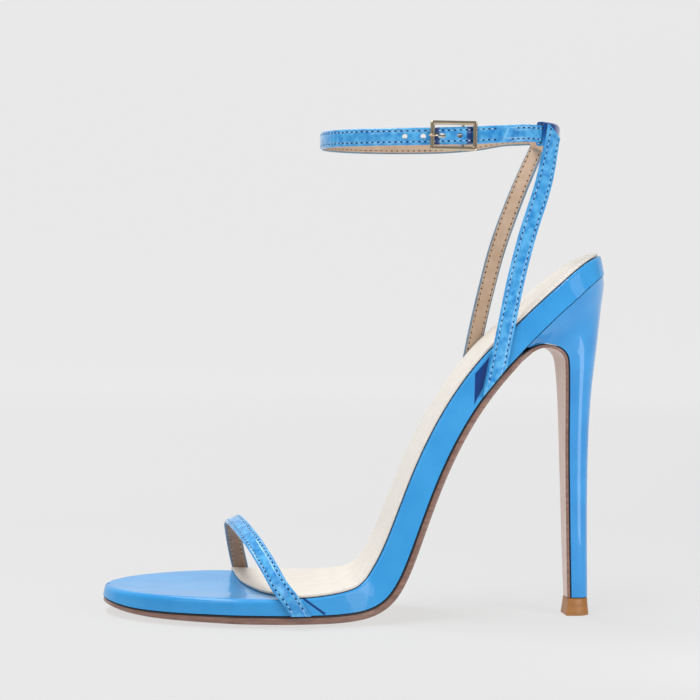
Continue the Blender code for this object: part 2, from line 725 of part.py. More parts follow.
def make_ankle_strap(material):
    """Folded round the buckle's centre bar, once round the ankle, through the frame and over itself."""
    line = []
    for k in range(5):
        share = k / 4
        out = -LAYER - (2 * FOLD_RADIUS - LAYER) * share ** 2
        line.append((BAR_RUN + CHAPE_LENGTH * (1 - share), out))
    for angle in range(30, 180, 30):
        a = math.radians(angle)
        line.append((BAR_RUN - FOLD_RADIUS * math.sin(a), -FOLD_RADIUS - FOLD_RADIUS * math.cos(a)))
    last = LOOP_LENGTH + TIP_RUN
    count = int(round((last - BAR_RUN) / 0.0034))
    rise = LOOP_LENGTH + BUCKLE_RUN - OVERLAP_START
    for k in range(count + 1):
        run = BAR_RUN + (last - BAR_RUN) * k / count
        share = min(max((run - rise) / OVERLAP_RISE, 0.0), 1.0)
        inside = min(abs(run - LOOP_LENGTH - BUCKLE_RUN) / (FRAME_LENGTH / 2 - FRAME_BAR), 1.0)
        bulge = STRAP_BULGE * math.cos(math.pi / 2 * inside) ** 2
        line.append((run, LAYER * share * share * (3 - 2 * share) + bulge))
    spots = np.array([loop_point(run, out)[0] for run, out in line])
    flat = spots * np.array([1.0, 1.0, 0.0])
    runs = tangents(flat)
    rings = []
    for k, (spot, run) in enumerate(zip(spots, runs)):
        face = np.array([run[1], -run[0], 0.0])
        across = loop_up(line[k][0], face)
        outward = np.cross(run, across)
        section = strap_section(ANKLE_STRAP_WIDTH, ANKLE_STRAP_THICK)
        ring = [spot + outward * o - across * a for a, o in section]
        if k == len(spots) - 1:
            ring = [p + run * TIP_SLANT * (p[2] - spot[2]) / ANKLE_STRAP_WIDTH for p in ring]
        rings.append(ring)
    return skin("ankle_strap", rings, material)


def cutter(name, rings):
    thing = skin(name, rings, None)
    thing.hide_render = True
    thing.display_type = "WIRE"
    return thing


def cut_with(thing, other, operation="DIFFERENCE"):
    modifier = thing.modifiers.new(other.name, "BOOLEAN")
    modifier.operation = operation
    modifier.solver = "EXACT"
    modifier.object = other
    other.hide_render = True
    other.display_type = "WIRE"


def round_rings(middle, axis, across, up, radius, length, sides, stretch=1.0):
    rings = []
    for end in (-0.5, 0.5):
        ring = []
        for k in range(sides):
            a = 2 * math.pi * (k + 0.5) / sides
            ring.append(middle + axis * length * end + across * radius * stretch * math.cos(a)
                        + up * radius * math.sin(a))
        rings.append(ring)
    return rings


def punch_holes(strap):
    """Four holes in the free end, one of them drawn out by the prong, and the slit for the prong's eye."""
    up = np.array([0.0, 0.0, 1.0])
    for k in range(-2, 2):
        run = ENGAGED_HOLE_RUN + k * HOLE_PITCH
        spot, outward = loop_point(run, LAYER + STRAP_BULGE / 2)
        stretch = 1.45 if k == 0 else 1.0
        rings = round_rings(spot, outward, np.cross(up, outward), up, HOLE_DIAMETER / 2,
                            LAYER + CLEARANCE + STRAP_BULGE, 12, stretch)
        cut_with(strap, cutter(f"punch_{k + 3}", rings))
    high, outward = loop_point(BAR_RUN - 0.0005, -FOLD_RADIUS)
    length = 2 * FOLD_RADIUS + 0.0012
    width = 2 * (PRONG_RADIUS + CLEARANCE)
    depth = 2 * FOLD_RADIUS + ANKLE_STRAP_THICK + CLEARANCE
    ahead = np.cross(up, outward)
    rings = []
    for end in (-0.5, 0.5):
        corners = ((-0.5, 0.5), (-0.5, -0.5), (0.5, -0.5), (0.5, 0.5))
        rings.append([high + outward * depth * end + ahead * length * a + up * width * b for a, b in corners])
    cut_with(strap, cutter("prong_slit", rings))


def make_back_strap(material):
    """A sleeve round the back of the ankle strap with an arm down to each side of the sole."""
    wall_out = CLEARANCE + SLEEVE_WALL
    width = ANKLE_STRAP_WIDTH + 2 * wall_out
    thick = ANKLE_STRAP_THICK + 2 * wall_out
    runs = np.linspace(-SLEEVE_HALF_LENGTH, SLEEVE_HALF_LENGTH, 13)

    def tube(name, extra, width, thick):
        rings = []
        for run in runs * (1 + extra):
            spot, outward = loop_point(run)
            across = loop_up(run, outward)
            face = np.cross(np.cross(across, outward), across)
            rings.append([spot + face * o - across * a for a, o in strap_section(width, thick)])
        return skin(name, rings, material)

    strap = tube("back_strap", 0.0, width, thick)
    for name, table, root, spread, side in (("outer_arm", OUTER_ARM, OUTER_ARM_ROOT, OUTER_ARM_SPREAD, -1),
                                            ("inner_arm", INNER_ARM, INNER_ARM_ROOT, INNER_ARM_SPREAD, 1)):
        x = place(root)
        start, out = on_wall(x, seat_height(x), side)
        seat_out = ANKLE_STRAP_THICK / 2 + wall_out + STRAP_THICK / 2 - ARM_SUNK
        end, face = loop_point(side * spread, seat_out)
        face = unit(face + np.array([0.0, side * ARM_TURN, 0.0]))
        points, faces = [start], [out]
        height = end[2] - start[2]
        for climb, bow, lean in table:
            spot = start + (end - start) * climb
            spot[0] -= bow * height
            if lean == 0.0:
                start_wall, out = on_wall(spot[0], spot[2], side)
            spot[1] = start_wall[1] + (end[1] - start_wall[1]) * lean
            points.append(spot)
            faces.append(out * (1 - lean ** 2) + face * lean ** 2)
        points.append(end)
        faces.append(face)
        line = spline([np.concatenate((p, f)) for p, f in zip(points, faces)], 0.0040)
        rings, ways = band(line[:, :3], line[:, 3:], ARM_WIDTH)
        rings[0] = cut_end(rings[0], ways[0], sole_point(x, side, 0.0), seat_normal(x))
        cut_with(strap, skin(name, rings, material), "UNION")
    slot = tube("sleeve_slot", 0.3, ANKLE_STRAP_WIDTH + 2 * CLEARANCE, ANKLE_STRAP_THICK + 2 * CLEARANCE)
    cut_with(strap, slot)
    return strap


def wire_rings(points, radius, sides=8):
    points = np.array(points)
    rings, side = [], None
    for point, run in zip(points, tangents(points)):
        if side is None:
            side = np.array([0.0, 0.0, 1.0]) if abs(run[2]) < 0.7 else np.array([0.0, 1.0, 0.0])
        side = unit(side - np.dot(side, run) * run)
        other = np.cross(run, side)
        angles = [2 * math.pi * (k + 0.5) / sides for k in range(sides)]
        rings.append([point + radius * (side * math.cos(a) + other * math.sin(a)) for a in angles])
    return rings


def make_buckle(material):
    """A rounded frame whose centre bar is set in towards the ankle on two short legs."""
    def corner(sx, sy, a, margin, radius):
        """A point of the frame's outline, set in by a margin, on a rounded corner."""
        return np.array([sx * (FRAME_LENGTH / 2 - margin - radius) + radius * math.cos(a),
                         sy * (FRAME_HEIGHT / 2 - margin - radius) + radius * math.sin(a)])

    half_height = (FRAME_HEIGHT - FRAME_BAR) / 2
    depth, bevel = FRAME_DEPTH / 2, 0.2 * FRAME_BAR
    section = ((bevel, depth), (0.0, depth - bevel), (0.0, bevel - depth), (bevel, -depth),
               (FRAME_BAR - bevel, -depth), (FRAME_BAR, bevel - depth), (FRAME_BAR, depth - bevel),
               (FRAME_BAR - bevel, depth))
    rings = []
    for turn, (sx, sy) in enumerate(((1, 1), (-1, 1), (-1, -1), (1, -1))):
        for k in range(5):
            a = math.radians(90 * turn + 22.5 * k)
            edge = corner(sx, sy, a, 0.0, FRAME_CORNER)
            hollow = corner(sx, sy, a, FRAME_BAR, FRAME_INNER_CORNER)
            ring = []
            for way, out in section:
                q, h = hollow + (edge - hollow) * way / FRAME_BAR
                spot, outward = loop_point(BUCKLE_RUN + q, FRAME_OUT + out)
                spot[2] = loop_point(BUCKLE_RUN)[0][2] + h
                ring.append(spot)
            rings.append(ring)
    frame = skin("buckle", rings, material, closed=True)
    middle = loop_point(BUCKLE_RUN)[0][2]
    path = []
    legs = ((FRAME_OUT, half_height), (0.3 * FRAME_OUT, half_height), (-0.7 * FOLD_RADIUS, half_height),
            (-FOLD_RADIUS, half_height - 0.3 * FOLD_RADIUS))
    for out, high in legs:
        spot, _ = loop_point(BAR_RUN, out)
        spot[2] = middle + high
        path.append(spot)
    lower = [np.array([p[0], p[1], 2 * middle - p[2]]) for p in reversed(path)]
    bar = skin("centre_bar", wire_rings(path + lower, BAR_RADIUS), material)
    cut_with(frame, bar, "UNION")
    return frame


def make_prong(material):
    """A wire hooked round the centre bar, up through the strap's hole and over the frame's front bar."""
    eye = BAR_RADIUS + CLEARANCE / 2 + PRONG_RADIUS
    low = loop_point(BUCKLE_RUN)[0][2]
    route = []
    for angle in range(-160, 91, 25):
        a = math.radians(angle)
        route.append((BAR_RUN + eye * math.cos(a), -FOLD_RADIUS + eye * math.sin(a)))
    rest = FRAME_OUT + FRAME_DEPTH / 2 + PRONG_RADIUS + CLEARANCE / 3
    front = BUCKLE_RUN - (FRAME_LENGTH - FRAME_BAR) / 2
    hole = ENGAGED_HOLE_RUN
    under = LAYER - ANKLE_STRAP_THICK / 2 - CLEARANCE - PRONG_RADIUS
    route += [
        (hole + 0.0045, under - 0.0002),
        (hole + 0.0016, under),
        (hole + 0.0005, 0.5 * (under + LAYER)),
        (hole - 0.0003, LAYER + 0.0004),
        (hole - 0.0010, 0.62 * rest + 0.38 * LAYER),
        (hole - 0.0019, rest - 0.0001),
        (front, rest),
        (front - 0.0012, rest - 0.0001),
    ]
    points = []
    for run, out in route:
        spot, _ = loop_point(run, out)
        spot[2] = low
        points.append(spot)
    return skin("buckle_prong", wire_rings(points, PRONG_RADIUS), material)


def main():
    for thing in list(bpy.data.objects):
        bpy.data.objects.remove(thing, do_unlink=True)
    patent = paint("light_blue_patent", (0.10, 0.38, 0.75), 0.08, coat=1.0)
    cream = paint("cream_lining", (0.80, 0.74, 0.66), 0.55)
    brown = paint("brown_sole_leather", (0.22, 0.10, 0.08), 0.45)
    tan = paint("tan_top_piece", (0.42, 0.20, 0.06), 0.40)
    gold = paint("pale_gold_metal", (0.83, 0.72, 0.55), 0.18, metallic=1.0)
    make_outsole(brown)
    make_insole(patent)
    make_sock(cream)
    make_heel(patent)
    make_top_piece(tan)
    make_toe_strap(patent)
    make_back_strap(patent)
    punch_holes(make_ankle_strap(patent))
    make_buckle(gold)
    make_prong(gold)


main()
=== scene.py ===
"""Light-blue patent sandal on a tall slim heel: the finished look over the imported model.

All lengths are metres. The toe points to -X, the shoe's outer side to -Y and up is +Z.
"""
import math

import bmesh
import bpy
import numpy as np
from mathutils import Matrix, Vector


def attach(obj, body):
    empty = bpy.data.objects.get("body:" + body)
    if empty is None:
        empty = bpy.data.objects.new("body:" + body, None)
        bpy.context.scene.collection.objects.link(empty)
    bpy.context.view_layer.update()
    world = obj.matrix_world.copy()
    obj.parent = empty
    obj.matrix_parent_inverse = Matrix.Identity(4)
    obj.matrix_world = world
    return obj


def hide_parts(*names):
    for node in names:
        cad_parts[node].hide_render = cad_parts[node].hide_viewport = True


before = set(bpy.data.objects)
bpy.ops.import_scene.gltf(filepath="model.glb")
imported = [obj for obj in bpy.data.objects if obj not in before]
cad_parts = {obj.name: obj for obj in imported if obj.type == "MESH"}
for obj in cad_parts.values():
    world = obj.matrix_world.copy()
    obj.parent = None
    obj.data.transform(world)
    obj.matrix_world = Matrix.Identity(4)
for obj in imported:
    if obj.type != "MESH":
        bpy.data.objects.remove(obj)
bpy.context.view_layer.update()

# Camera. It stands level with the straps' height, a little towards the toe, and looks slightly down.
# The picture is rolled by under a degree.
CAMERA_PLACE = Vector((-0.02752, -0.81840, 0.12065))
CAMERA_YAW = math.radians(3.5)
CAMERA_ROLL = math.radians(0.9)
PICTURE_PIXELS = 700
FOCAL_PIXELS = 2240
HORIZON_PIXELS = 66
CAMERA_TILT = math.atan(HORIZON_PIXELS / FOCAL_PIXELS)
SENSOR = 36.0

ahead = Vector((math.sin(CAMERA_YAW) * math.cos(CAMERA_TILT), math.cos(CAMERA_YAW) * math.cos(CAMERA_TILT),
                -math.sin(CAMERA_TILT)))
level = Vector((math.cos(CAMERA_YAW), -math.sin(CAMERA_YAW), 0.0))
upright = level.cross(ahead)
picture_right = level * math.cos(CAMERA_ROLL) + upright * math.sin(CAMERA_ROLL)
picture_up = picture_right.cross(ahead)
camera = bpy.data.objects.new("camera", bpy.data.cameras.new("camera"))
camera.data.sensor_width = SENSOR
camera.data.lens = FOCAL_PIXELS * SENSOR / PICTURE_PIXELS
camera.data.clip_start = 0.05
turn = Matrix((picture_right, picture_up, -ahead)).transposed()
camera.matrix_world = Matrix.Translation(CAMERA_PLACE) @ turn.to_4x4()
bpy.context.scene.collection.objects.link(camera)
bpy.context.scene.camera = camera


# Insole board. A moulded board with its filling, wrapped in light-blue patent leather that shows as the
# toe's top and as the long blue side of the sole. The upper edge is rolled, softly at the toe.
SOLE_LENGTH = 0.1818
BALL_PLACE = 0.365
HEEL_RISE = 0.1227
TOE_SPRING = 0.0027
BALL_WIDTH = 0.082
WAIST_WIDTH = 0.042
SEAT_WIDTH = 0.0465
TOE_ROUND = 0.050
HEEL_ROUND = 0.018
DISH = 0.0012
INSOLE_THICK = 0.0088
OUTSOLE_THICK = 0.0030
CLEARANCE = 0.0003
FLAT_SHARE = 0.35
SEAT_LEAN = math.radians(15)
TOE_EDGE = 0.0020
REAR_EDGE = 0.0009
EDGE_LIMIT = 0.42
PLAN_BLEND = 0.003
TOE_STATIONS, HEEL_STATIONS = 34, 22
SOLE_STEP = 0.0016
SEAT_LINE = (
    # along, spring, rise
    (0.000, 1.00, 0.000),
    (0.019, 0.78, 0.000),
    (0.057, 0.41, 0.000),
    (0.140, 0.11, 0.000),
    (0.235, 0.04, 0.000),
    (0.288, 0.00, 0.000),
    (0.442, 0.00, 0.000),
    (0.481, 0.00, 0.004),
    (0.519, 0.00, 0.015),
    (0.557, 0.00, 0.047),
    (0.579, 0.00, 0.092),
    (0.597, 0.00, 0.150),
    (0.625, 0.00, 0.266),
    (0.657, 0.00, 0.392),
    (0.692, 0.00, 0.504),
    (0.725, 0.00, 0.590),
    (0.766, 0.00, 0.676),
    (0.819, 0.00, 0.765),
    (0.855, 0.00, 0.822),
    (0.915, 0.00, 0.907),
    (0.978, 0.00, 0.983),
    (1.000, 0.00, 1.000),
)
THICKNESS = (
    # along, insole, sole, dish
    (0.000, 0.48, 0.47, 0.0),
    (0.035, 0.58, 0.60, 0.2),
    (0.090, 0.63, 0.74, 0.5),
    (0.140, 0.64, 0.83, 0.8),
    (0.235, 0.64, 0.96, 1.0),
    (0.288, 0.64, 1.00, 1.0),
    (0.393, 0.67, 1.00, 1.0),
    (0.442, 0.75, 1.00, 1.0),
    (0.503, 0.90, 1.00, 0.6),
    (0.541, 1.06, 1.00, 0.2),
    (0.579, 1.12, 0.95, 0.0),
    (0.607, 1.03, 0.90, 0.0),
    (0.640, 1.00, 0.88, 0.0),
    (0.783, 1.00, 0.84, 0.0),
    (0.855, 0.88, 0.60, 0.0),
    (0.978, 0.85, 0.60, 0.0),
    (1.000, 0.79, 0.60, 0.0),
)
PLAN = (
    # along, size, outer, inner
    (0.000, BALL_WIDTH, 0.455, 0.500),
    (0.130, BALL_WIDTH, 0.465, 0.505),
    (0.266, BALL_WIDTH, 0.485, 0.505),
    (0.349, BALL_WIDTH, 0.492, 0.475),
    (0.420, BALL_WIDTH, 0.470, 0.420),
    (0.475, BALL_WIDTH, 0.430, 0.365),
    (0.530, BALL_WIDTH, 0.378, 0.310),
    (0.585, WAIST_WIDTH, 0.660, 0.530),
    (0.640, WAIST_WIDTH, 0.595, 0.460),
    (0.695, WAIST_WIDTH, 0.560, 0.435),
    (0.750, WAIST_WIDTH, 0.555, 0.445),
    (0.805, SEAT_WIDTH, 0.510, 0.440),
    (0.860, SEAT_WIDTH, 0.515, 0.475),
    (0.900, SEAT_WIDTH, 0.510, 0.490),
    (1.000, SEAT_WIDTH, 0.500, 0.500),
)
PATENT = (0.050, 0.350, 0.750)
PATENT_DEEP = (0.037, 0.305, 0.690)
SHADE_NAVY = (0.006, 0.045, 0.210)
OUTER_SIDE_FROM = 0.010
PAINTED_SHADE_SOFT = 0.0003


def curve(xs, ys):
    """A smooth function through a table's rows that never overshoots them."""
    xs, ys = np.asarray(xs, float), np.asarray(ys, float)
    step = np.diff(xs)
    slope = np.diff(ys) / step
    tangent = np.zeros_like(xs)
    tangent[0], tangent[-1] = slope[0], slope[-1]
    for i in range(1, len(xs) - 1):
        if slope[i - 1] * slope[i] > 0:
            before, after = 2 * step[i] + step[i - 1], step[i] + 2 * step[i - 1]
            tangent[i] = (before + after) / (before / slope[i - 1] + after / slope[i])

    def value(x):
        x = min(max(x, xs[0]), xs[-1])
        i = min(int(np.searchsorted(xs, x, side="right")) - 1, len(step) - 1)
        t, h = (x - xs[i]) / step[i], step[i]
        return float(
            (1 + 2 * t) * (1 - t) ** 2 * ys[i] + t * (1 - t) ** 2 * h * tangent[i]
            + t * t * (3 - 2 * t) * ys[i + 1] + t * t * (t - 1) * h * tangent[i + 1]
        )

    return value


def place(along):
    """X of a share of the sole's length, from the toe."""
    return (along - BALL_PLACE) * SOLE_LENGTH


TOE_X, BACK_X = place(0.0), place(1.0)
SOLE_XS = np.linspace(TOE_X, BACK_X, 1200)


def faired(function, blend=0.0016):
    """The function with its small kinks smoothed out, so that reflections run evenly."""
    values = np.array([function(x) for x in SOLE_XS])
    gap = SOLE_XS[1] - SOLE_XS[0]
    reach = int(3 * blend / gap)
    weights = np.exp(-0.5 * (np.arange(-reach, reach + 1) * gap / blend) ** 2)
    weights /= weights.sum()
    before = 2 * values[0] - values[reach:0:-1]
    after = 2 * values[-1] - values[-2:-reach - 2:-1]
    smooth = np.convolve(np.concatenate((before, values, after)), weights, "valid")
    return lambda x: float(np.interp(x, SOLE_XS, smooth))


def table_curve(rows, column, size):
    """A faired curve along the sole through one column of a table, in shares of a size."""
    return faired(curve([place(row[0]) for row in rows], [row[column] * size for row in rows]))


spring_at = table_curve(SEAT_LINE, 1, TOE_SPRING)
rise_at = table_curve(SEAT_LINE, 2, HEEL_RISE)
insole_at = table_curve(THICKNESS, 1, INSOLE_THICK)
outsole_at = table_curve(THICKNESS, 2, OUTSOLE_THICK)
dish_at = table_curve(THICKNESS, 3, DISH)
plan_xs = [place(row[0]) for row in PLAN]
width_at = faired(curve(plan_xs, [size * (outer + inner) for _, size, outer, inner in PLAN]), PLAN_BLEND)
shift_at = faired(curve(plan_xs, [size * (inner - outer) / 2 for _, size, outer, inner in PLAN]), PLAN_BLEND)
lean_at = faired(curve([place(0.90), BACK_X], [0.0, SEAT_LEAN]))
edge_at = faired(curve([place(0.30), place(0.41)], [TOE_EDGE, REAR_EDGE]))


def seat_height(x):
    """Z of the insole's underside along the middle."""
    return OUTSOLE_THICK + CLEARANCE + spring_at(x) + rise_at(x)


def unit(v):
    v = np.asarray(v, float)
    return v / np.linalg.norm(v)


def seat_normal(x):
    """The way straight up out of the insole, leaned back at the heel's end."""
    step = 0.0008
    low, high = max(x - step, TOE_X), min(x + step, BACK_X)
    angle = math.atan2(seat_height(high) - seat_height(low), high - low) - lean_at(x)
    return np.array([-math.sin(angle), 0.0, math.cos(angle)])


def rounding(distance, length):
    """Share of the full width at a distance from a round end."""
    if distance >= length:
        return 1.0
    return math.sqrt(max(1 - (1 - distance / length) ** 2, 1e-4))


def half_width(x, inset=0.0):
    """Half the sole's width, inside its outline by an inset."""
    toe = rounding(max(x - TOE_X - inset, 0.0), TOE_ROUND - inset)
    back = rounding(max(BACK_X - inset - x, 0.0), HEEL_ROUND - inset)
    return (width_at(x) / 2 - inset) * toe * back


def sole_point(x, across, lift, inset=0.0):
    """A point across the sole from -1 (outer) to 1 (inner), over the insole's underside."""
    side = max((abs(across) - FLAT_SHARE) / (1 - FLAT_SHARE), 0.0)
    base = np.array([x, shift_at(x) + across * half_width(x, inset), seat_height(x)])
    return base + seat_normal(x) * (lift + dish_at(x) * side)


def stations(start, end, step):
    """Places along x that are evenly spaced on the sloping insole."""
    xs = np.linspace(start, end, 800)
    zs = np.array([seat_height(x) for x in xs])
    run = np.concatenate(([0.0], np.cumsum(np.hypot(np.diff(xs), np.diff(zs)))))
    count = max(int(round(run[-1] / step)), 1)
    return list(np.interp(np.linspace(0, run[-1], count + 1), run, xs))


def round_stations(length, count):
    """Distances from a round end, close together at the end itself."""
    return [length * (1 - math.cos(math.radians(2 + 88 * k / count))) for k in range(count)]


def outline_shares():
    """Shares of the way from toe tip to heel, dense where the outline is round."""
    toe = [TOE_X + d for d in round_stations(TOE_ROUND, TOE_STATIONS)]
    back = [BACK_X - d for d in round_stations(HEEL_ROUND, HEEL_STATIONS)]
    xs = toe + stations(TOE_X + TOE_ROUND, BACK_X - HEEL_ROUND, SOLE_STEP) + back[::-1]
    return [(x - TOE_X) / SOLE_LENGTH for x in xs]


def add_piece(name, bm, materials, sharp=35):
    """A finished piece from its mesh, shaded smooth up to an angle in degrees."""
    bmesh.ops.recalc_face_normals(bm, faces=bm.faces[:])
    mesh = bpy.data.meshes.new(name)
    bm.to_mesh(mesh)
    bm.free()
    piece = bpy.data.objects.new(name, mesh)
    bpy.context.scene.collection.objects.link(piece)
    for material in materials:
        mesh.materials.append(material)
    mesh.shade_smooth()
    mesh.set_sharp_from_angle(angle=math.radians(sharp))
    return piece


def tube(rings, paint_of=None):
    """A solid through rings of points with flat ends of one face each."""
    bm = bmesh.new()
    grid = [[bm.verts.new(Vector(point)) for point in ring] for ring in rings]
    size = len(grid[0])
    for one, two in zip(grid, grid[1:]):
        for k in range(size):
            following = (k + 1) % size
            face = bm.faces.new((one[k], one[following], two[following], two[k]))
            face.material_index = paint_of(k) if paint_of else 0
    for ring in (grid[0], grid[-1]):
        bm.faces.new(ring)
    return bm


def new_material(name, colour, roughness, metallic=0.0):
    """A material with its shader's plain values."""
    material = bpy.data.materials.new(name)
    material.use_nodes = True
    shader = material.node_tree.nodes["Principled BSDF"]
    shader.inputs["Base Color"].default_value = (*colour, 1.0)
    shader.inputs["Roughness"].default_value = roughness
    shader.inputs["Metallic"].default_value = metallic
    material.diffuse_color = (*colour, 1.0)
    return material


def add_node(material, kind, **settings):
    """A node with its own properties and, under their names with _ for spaces, its input values."""
    node = material.node_tree.nodes.new(kind)
    for key, value in settings.items():
        name = key.replace("_", " ")
        if name in node.inputs:
            node.inputs[name].default_value = value
        else:
            setattr(node, key, value)
    return node


def noise(material, scale, detail=3.0, stretch=(1.0, 1.0, 1.0)):
    """Noise on the object's coordinates; scale counts per metre."""
    tree = material.node_tree
    place_node = add_node(material, "ShaderNodeTexCoord")
    mapping = add_node(material, "ShaderNodeMapping", Scale=stretch)
    pattern = add_node(material, "ShaderNodeTexNoise", Scale=scale, Detail=detail)
    tree.links.new(place_node.outputs["Object"], mapping.inputs["Vector"])
    tree.links.new(mapping.outputs["Vector"], pattern.inputs["Vector"])
    return pattern.outputs["Fac"]


def cells(material, scale):
    """Fine cells, like pores; scale counts per metre."""
    tree = material.node_tree
    place_node = add_node(material, "ShaderNodeTexCoord")
    pattern = add_node(material, "ShaderNodeTexVoronoi", Scale=scale)
    tree.links.new(place_node.outputs["Object"], pattern.inputs["Vector"])
    return pattern.outputs["Distance"]


def tint(material, pattern, stops, target="Base Color"):
    """Colours, or greys for a number, that follow a pattern."""
    tree = material.node_tree
    ramp = add_node(material, "ShaderNodeValToRGB")
    ramp.color_ramp.elements[0].position, ramp.color_ramp.elements[1].position = stops[0][0], stops[-1][0]
    ramp.color_ramp.elements[0].color = (*stops[0][1], 1.0)
    ramp.color_ramp.elements[1].color = (*stops[-1][1], 1.0)
    for position, colour in stops[1:-1]:
        ramp.color_ramp.elements.new(position).color = (*colour, 1.0)
    tree.links.new(pattern, ramp.inputs["Fac"])
    tree.links.new(ramp.outputs["Color"], tree.nodes["Principled BSDF"].inputs[target])


def bump(material, layers, target="Normal"):
    """Raises the surface by patterns, each with its strength and height."""
    tree = material.node_tree
    last = None
    for pattern, strength, height in layers:
        node = add_node(material, "ShaderNodeBump", Strength=strength, Distance=height)
        tree.links.new(pattern, node.inputs["Height"])
        if last:
            tree.links.new(last.outputs["Normal"], node.inputs["Normal"])
        last = node
    tree.links.new(last.outputs["Normal"], tree.nodes["Principled BSDF"].inputs[target])


def patent_leather(name, wave=0.10, light=PATENT, deep=PATENT_DEEP, patches=70, lacquer=0.9):
    """Blue leather under a clear lacquer whose surface is very slightly uneven."""
    material = new_material(name, light, 0.32)
    shader = material.node_tree.nodes["Principled BSDF"]
    shader.inputs["Specular IOR Level"].default_value = 0.12
    shader.inputs["Coat Weight"].default_value = lacquer
    shader.inputs["Coat Roughness"].default_value = 0.04
    shader.inputs["Coat IOR"].default_value = 1.45
    tint(material, noise(material, patches, 4.0), ((0.35, deep), (0.65, light)))
    bump(material, ((cells(material, 1500), 0.12, 0.00008), (noise(material, 900, 5.0), 0.10, 0.00010)))
    bump(material, ((noise(material, 130, 2.0), wave, 0.0006), (noise(material, 1100, 3.0), 0.05, 0.00008)),
         "Coat Normal")
    return material


def paint_shade_or_highlight(material, outline, colour, soft):
    """Paints a colour over the outer side inside an outline of (x, z) corners, for painted shade and painted
    highlights.
    """
    tree = material.node_tree
    place_node = add_node(material, "ShaderNodeTexCoord")

    def depth_past(normal, least):
        """How far past a plane each point lies."""
        along = add_node(material, "ShaderNodeVectorMath", operation="DOT_PRODUCT")
        tree.links.new(place_node.outputs["Object"], along.inputs[0])
        along.inputs[1].default_value = tuple(normal)
        depth = add_node(material, "ShaderNodeMath", operation="SUBTRACT")
        tree.links.new(along.outputs["Value"], depth.inputs[0])
        depth.inputs[1].default_value = least
        return depth.outputs[0]

    middle = np.mean(outline, axis=0)
    last = depth_past((0.0, -1.0, 0.0), OUTER_SIDE_FROM)
    for one, two in zip(outline, outline[1:] + outline[:1]):
        normal = np.array([two[1] - one[1], one[0] - two[0]])
        normal = unit(normal if np.dot(middle - one, normal) > 0 else -normal)
        least = add_node(material, "ShaderNodeMath", operation="MINIMUM")
        tree.links.new(last, least.inputs[0])
        tree.links.new(depth_past((normal[0], 0.0, normal[1]), np.dot(normal, one)), least.inputs[1])
        last = least.outputs[0]
    share = add_node(material, "ShaderNodeMapRange", From_Min=-0.3 * soft, From_Max=0.7 * soft)
    tree.links.new(last, share.inputs["Value"])
    mix = add_node(material, "ShaderNodeMix", data_type="RGBA")
    base = tree.nodes["Principled BSDF"].inputs["Base Color"]
    tree.links.new(share.outputs["Result"], mix.inputs[0])
    tree.links.new(base.links[0].from_socket, mix.inputs[6])
    mix.inputs[7].default_value = (*colour, 1.0)
    tree.links.new(mix.outputs[2], base)


# Painted shade on the insole's wall beside the outer ends of the back strap and of the toe strap, as (x, z)
# corners: the straps' shadows and dark reflections.
ARM_ROOT_PAINTED_SHADE = ((0.0712, 0.0957), (0.0659, 0.0893), (0.0658, 0.0779), (0.0691, 0.0846))
TOE_ROOT_PAINTED_SHADE = ((0.0044, 0.0106), (0.0052, 0.0111), (0.0133, 0.0052), (0.0127, 0.0044))
insole_patent = patent_leather("patent_on_insole", lacquer=0.36)
paint_shade_or_highlight(insole_patent, ARM_ROOT_PAINTED_SHADE, SHADE_NAVY, PAINTED_SHADE_SOFT)
paint_shade_or_highlight(insole_patent, TOE_ROOT_PAINTED_SHADE, SHADE_NAVY, PAINTED_SHADE_SOFT)
rings = []
for share in outline_shares():
    x = TOE_X + share * SOLE_LENGTH
    thick = insole_at(x)
    roll = min(edge_at(x), EDGE_LIMIT * thick)
    side = [(across, thick, roll) for across in np.linspace(0, -1, 14)]
    for degrees in (15, 30, 45, 60, 75, 90):
        angle = math.radians(degrees)
        side.append((-1.0, thick - roll + roll * math.cos(angle), roll * (1 - math.sin(angle))))
    side += [(-1.0, (thick - roll) * s, 0.0) for s in (0.66, 0.33, 0.0)]
    side += [(across, 0.0, 0.0) for across in (-0.7, -FLAT_SHARE, 0.0)]
    ring = []
    for across, lift, inset in side + [(-a, z, i) for a, z, i in side[-2:0:-1]]:
        at = TOE_X + inset + share * (SOLE_LENGTH - 2 * inset)
        ring.append(sole_point(at, across, lift, inset))
    rings.append(ring)
insole_board = add_piece("insole_board", tube(rings), [insole_patent])
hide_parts("wrapped_insole")
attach(insole_board, "root")


# Toe strap. A narrow band of patent leather lined with tan kid, stitched along both edges, that
# crosses the toes at a slant. Its ends are lasted under the insole's edge.
STRAP_THICK = 0.0015
TOE_STRAP_WIDTH = 0.0061
TOE_STRAP_RISE = 0.0240
TOE_STRAP_CONE = 0.5
ARM_WIDTH = 0.0064
STITCH_INSET = 0.0012
STITCH_PITCH = 0.0021
STITCH_SINK = 0.00022
STITCH_GROOVE = 0.00035
STITCH_END_GAP = 0.0012
STRAP_CROWN = 0.00012
LINING_THREAD_RISE = 0.00002
WALL_SEARCH = 0.020
FACE_STEPS, EDGE_STEPS, LINING_STEPS = 25, 5, 15
TOE_LINING_SKIP = 8
TOE_STRAP_LINE = (
    # across, up, along
    (-0.91, 0.24, 0.347),
    (-0.79, 0.48, 0.328),
    (-0.52, 0.75, 0.302),
    (-0.19, 0.93, 0.278),
    (0.14, 1.00, 0.262),
    (0.47, 0.93, 0.257),
    (0.78, 0.68, 0.261),
    (0.94, 0.35, 0.269),
)
TOE_ROOT_OUTER, TOE_RIM_OUTER = 0.388, 0.365
TOE_ROOT_INNER, TOE_RIM_INNER = 0.283, 0.277
LINING_TAN = (0.620, 0.450, 0.330)
LINING_TAN_DEEP = (0.520, 0.360, 0.250)
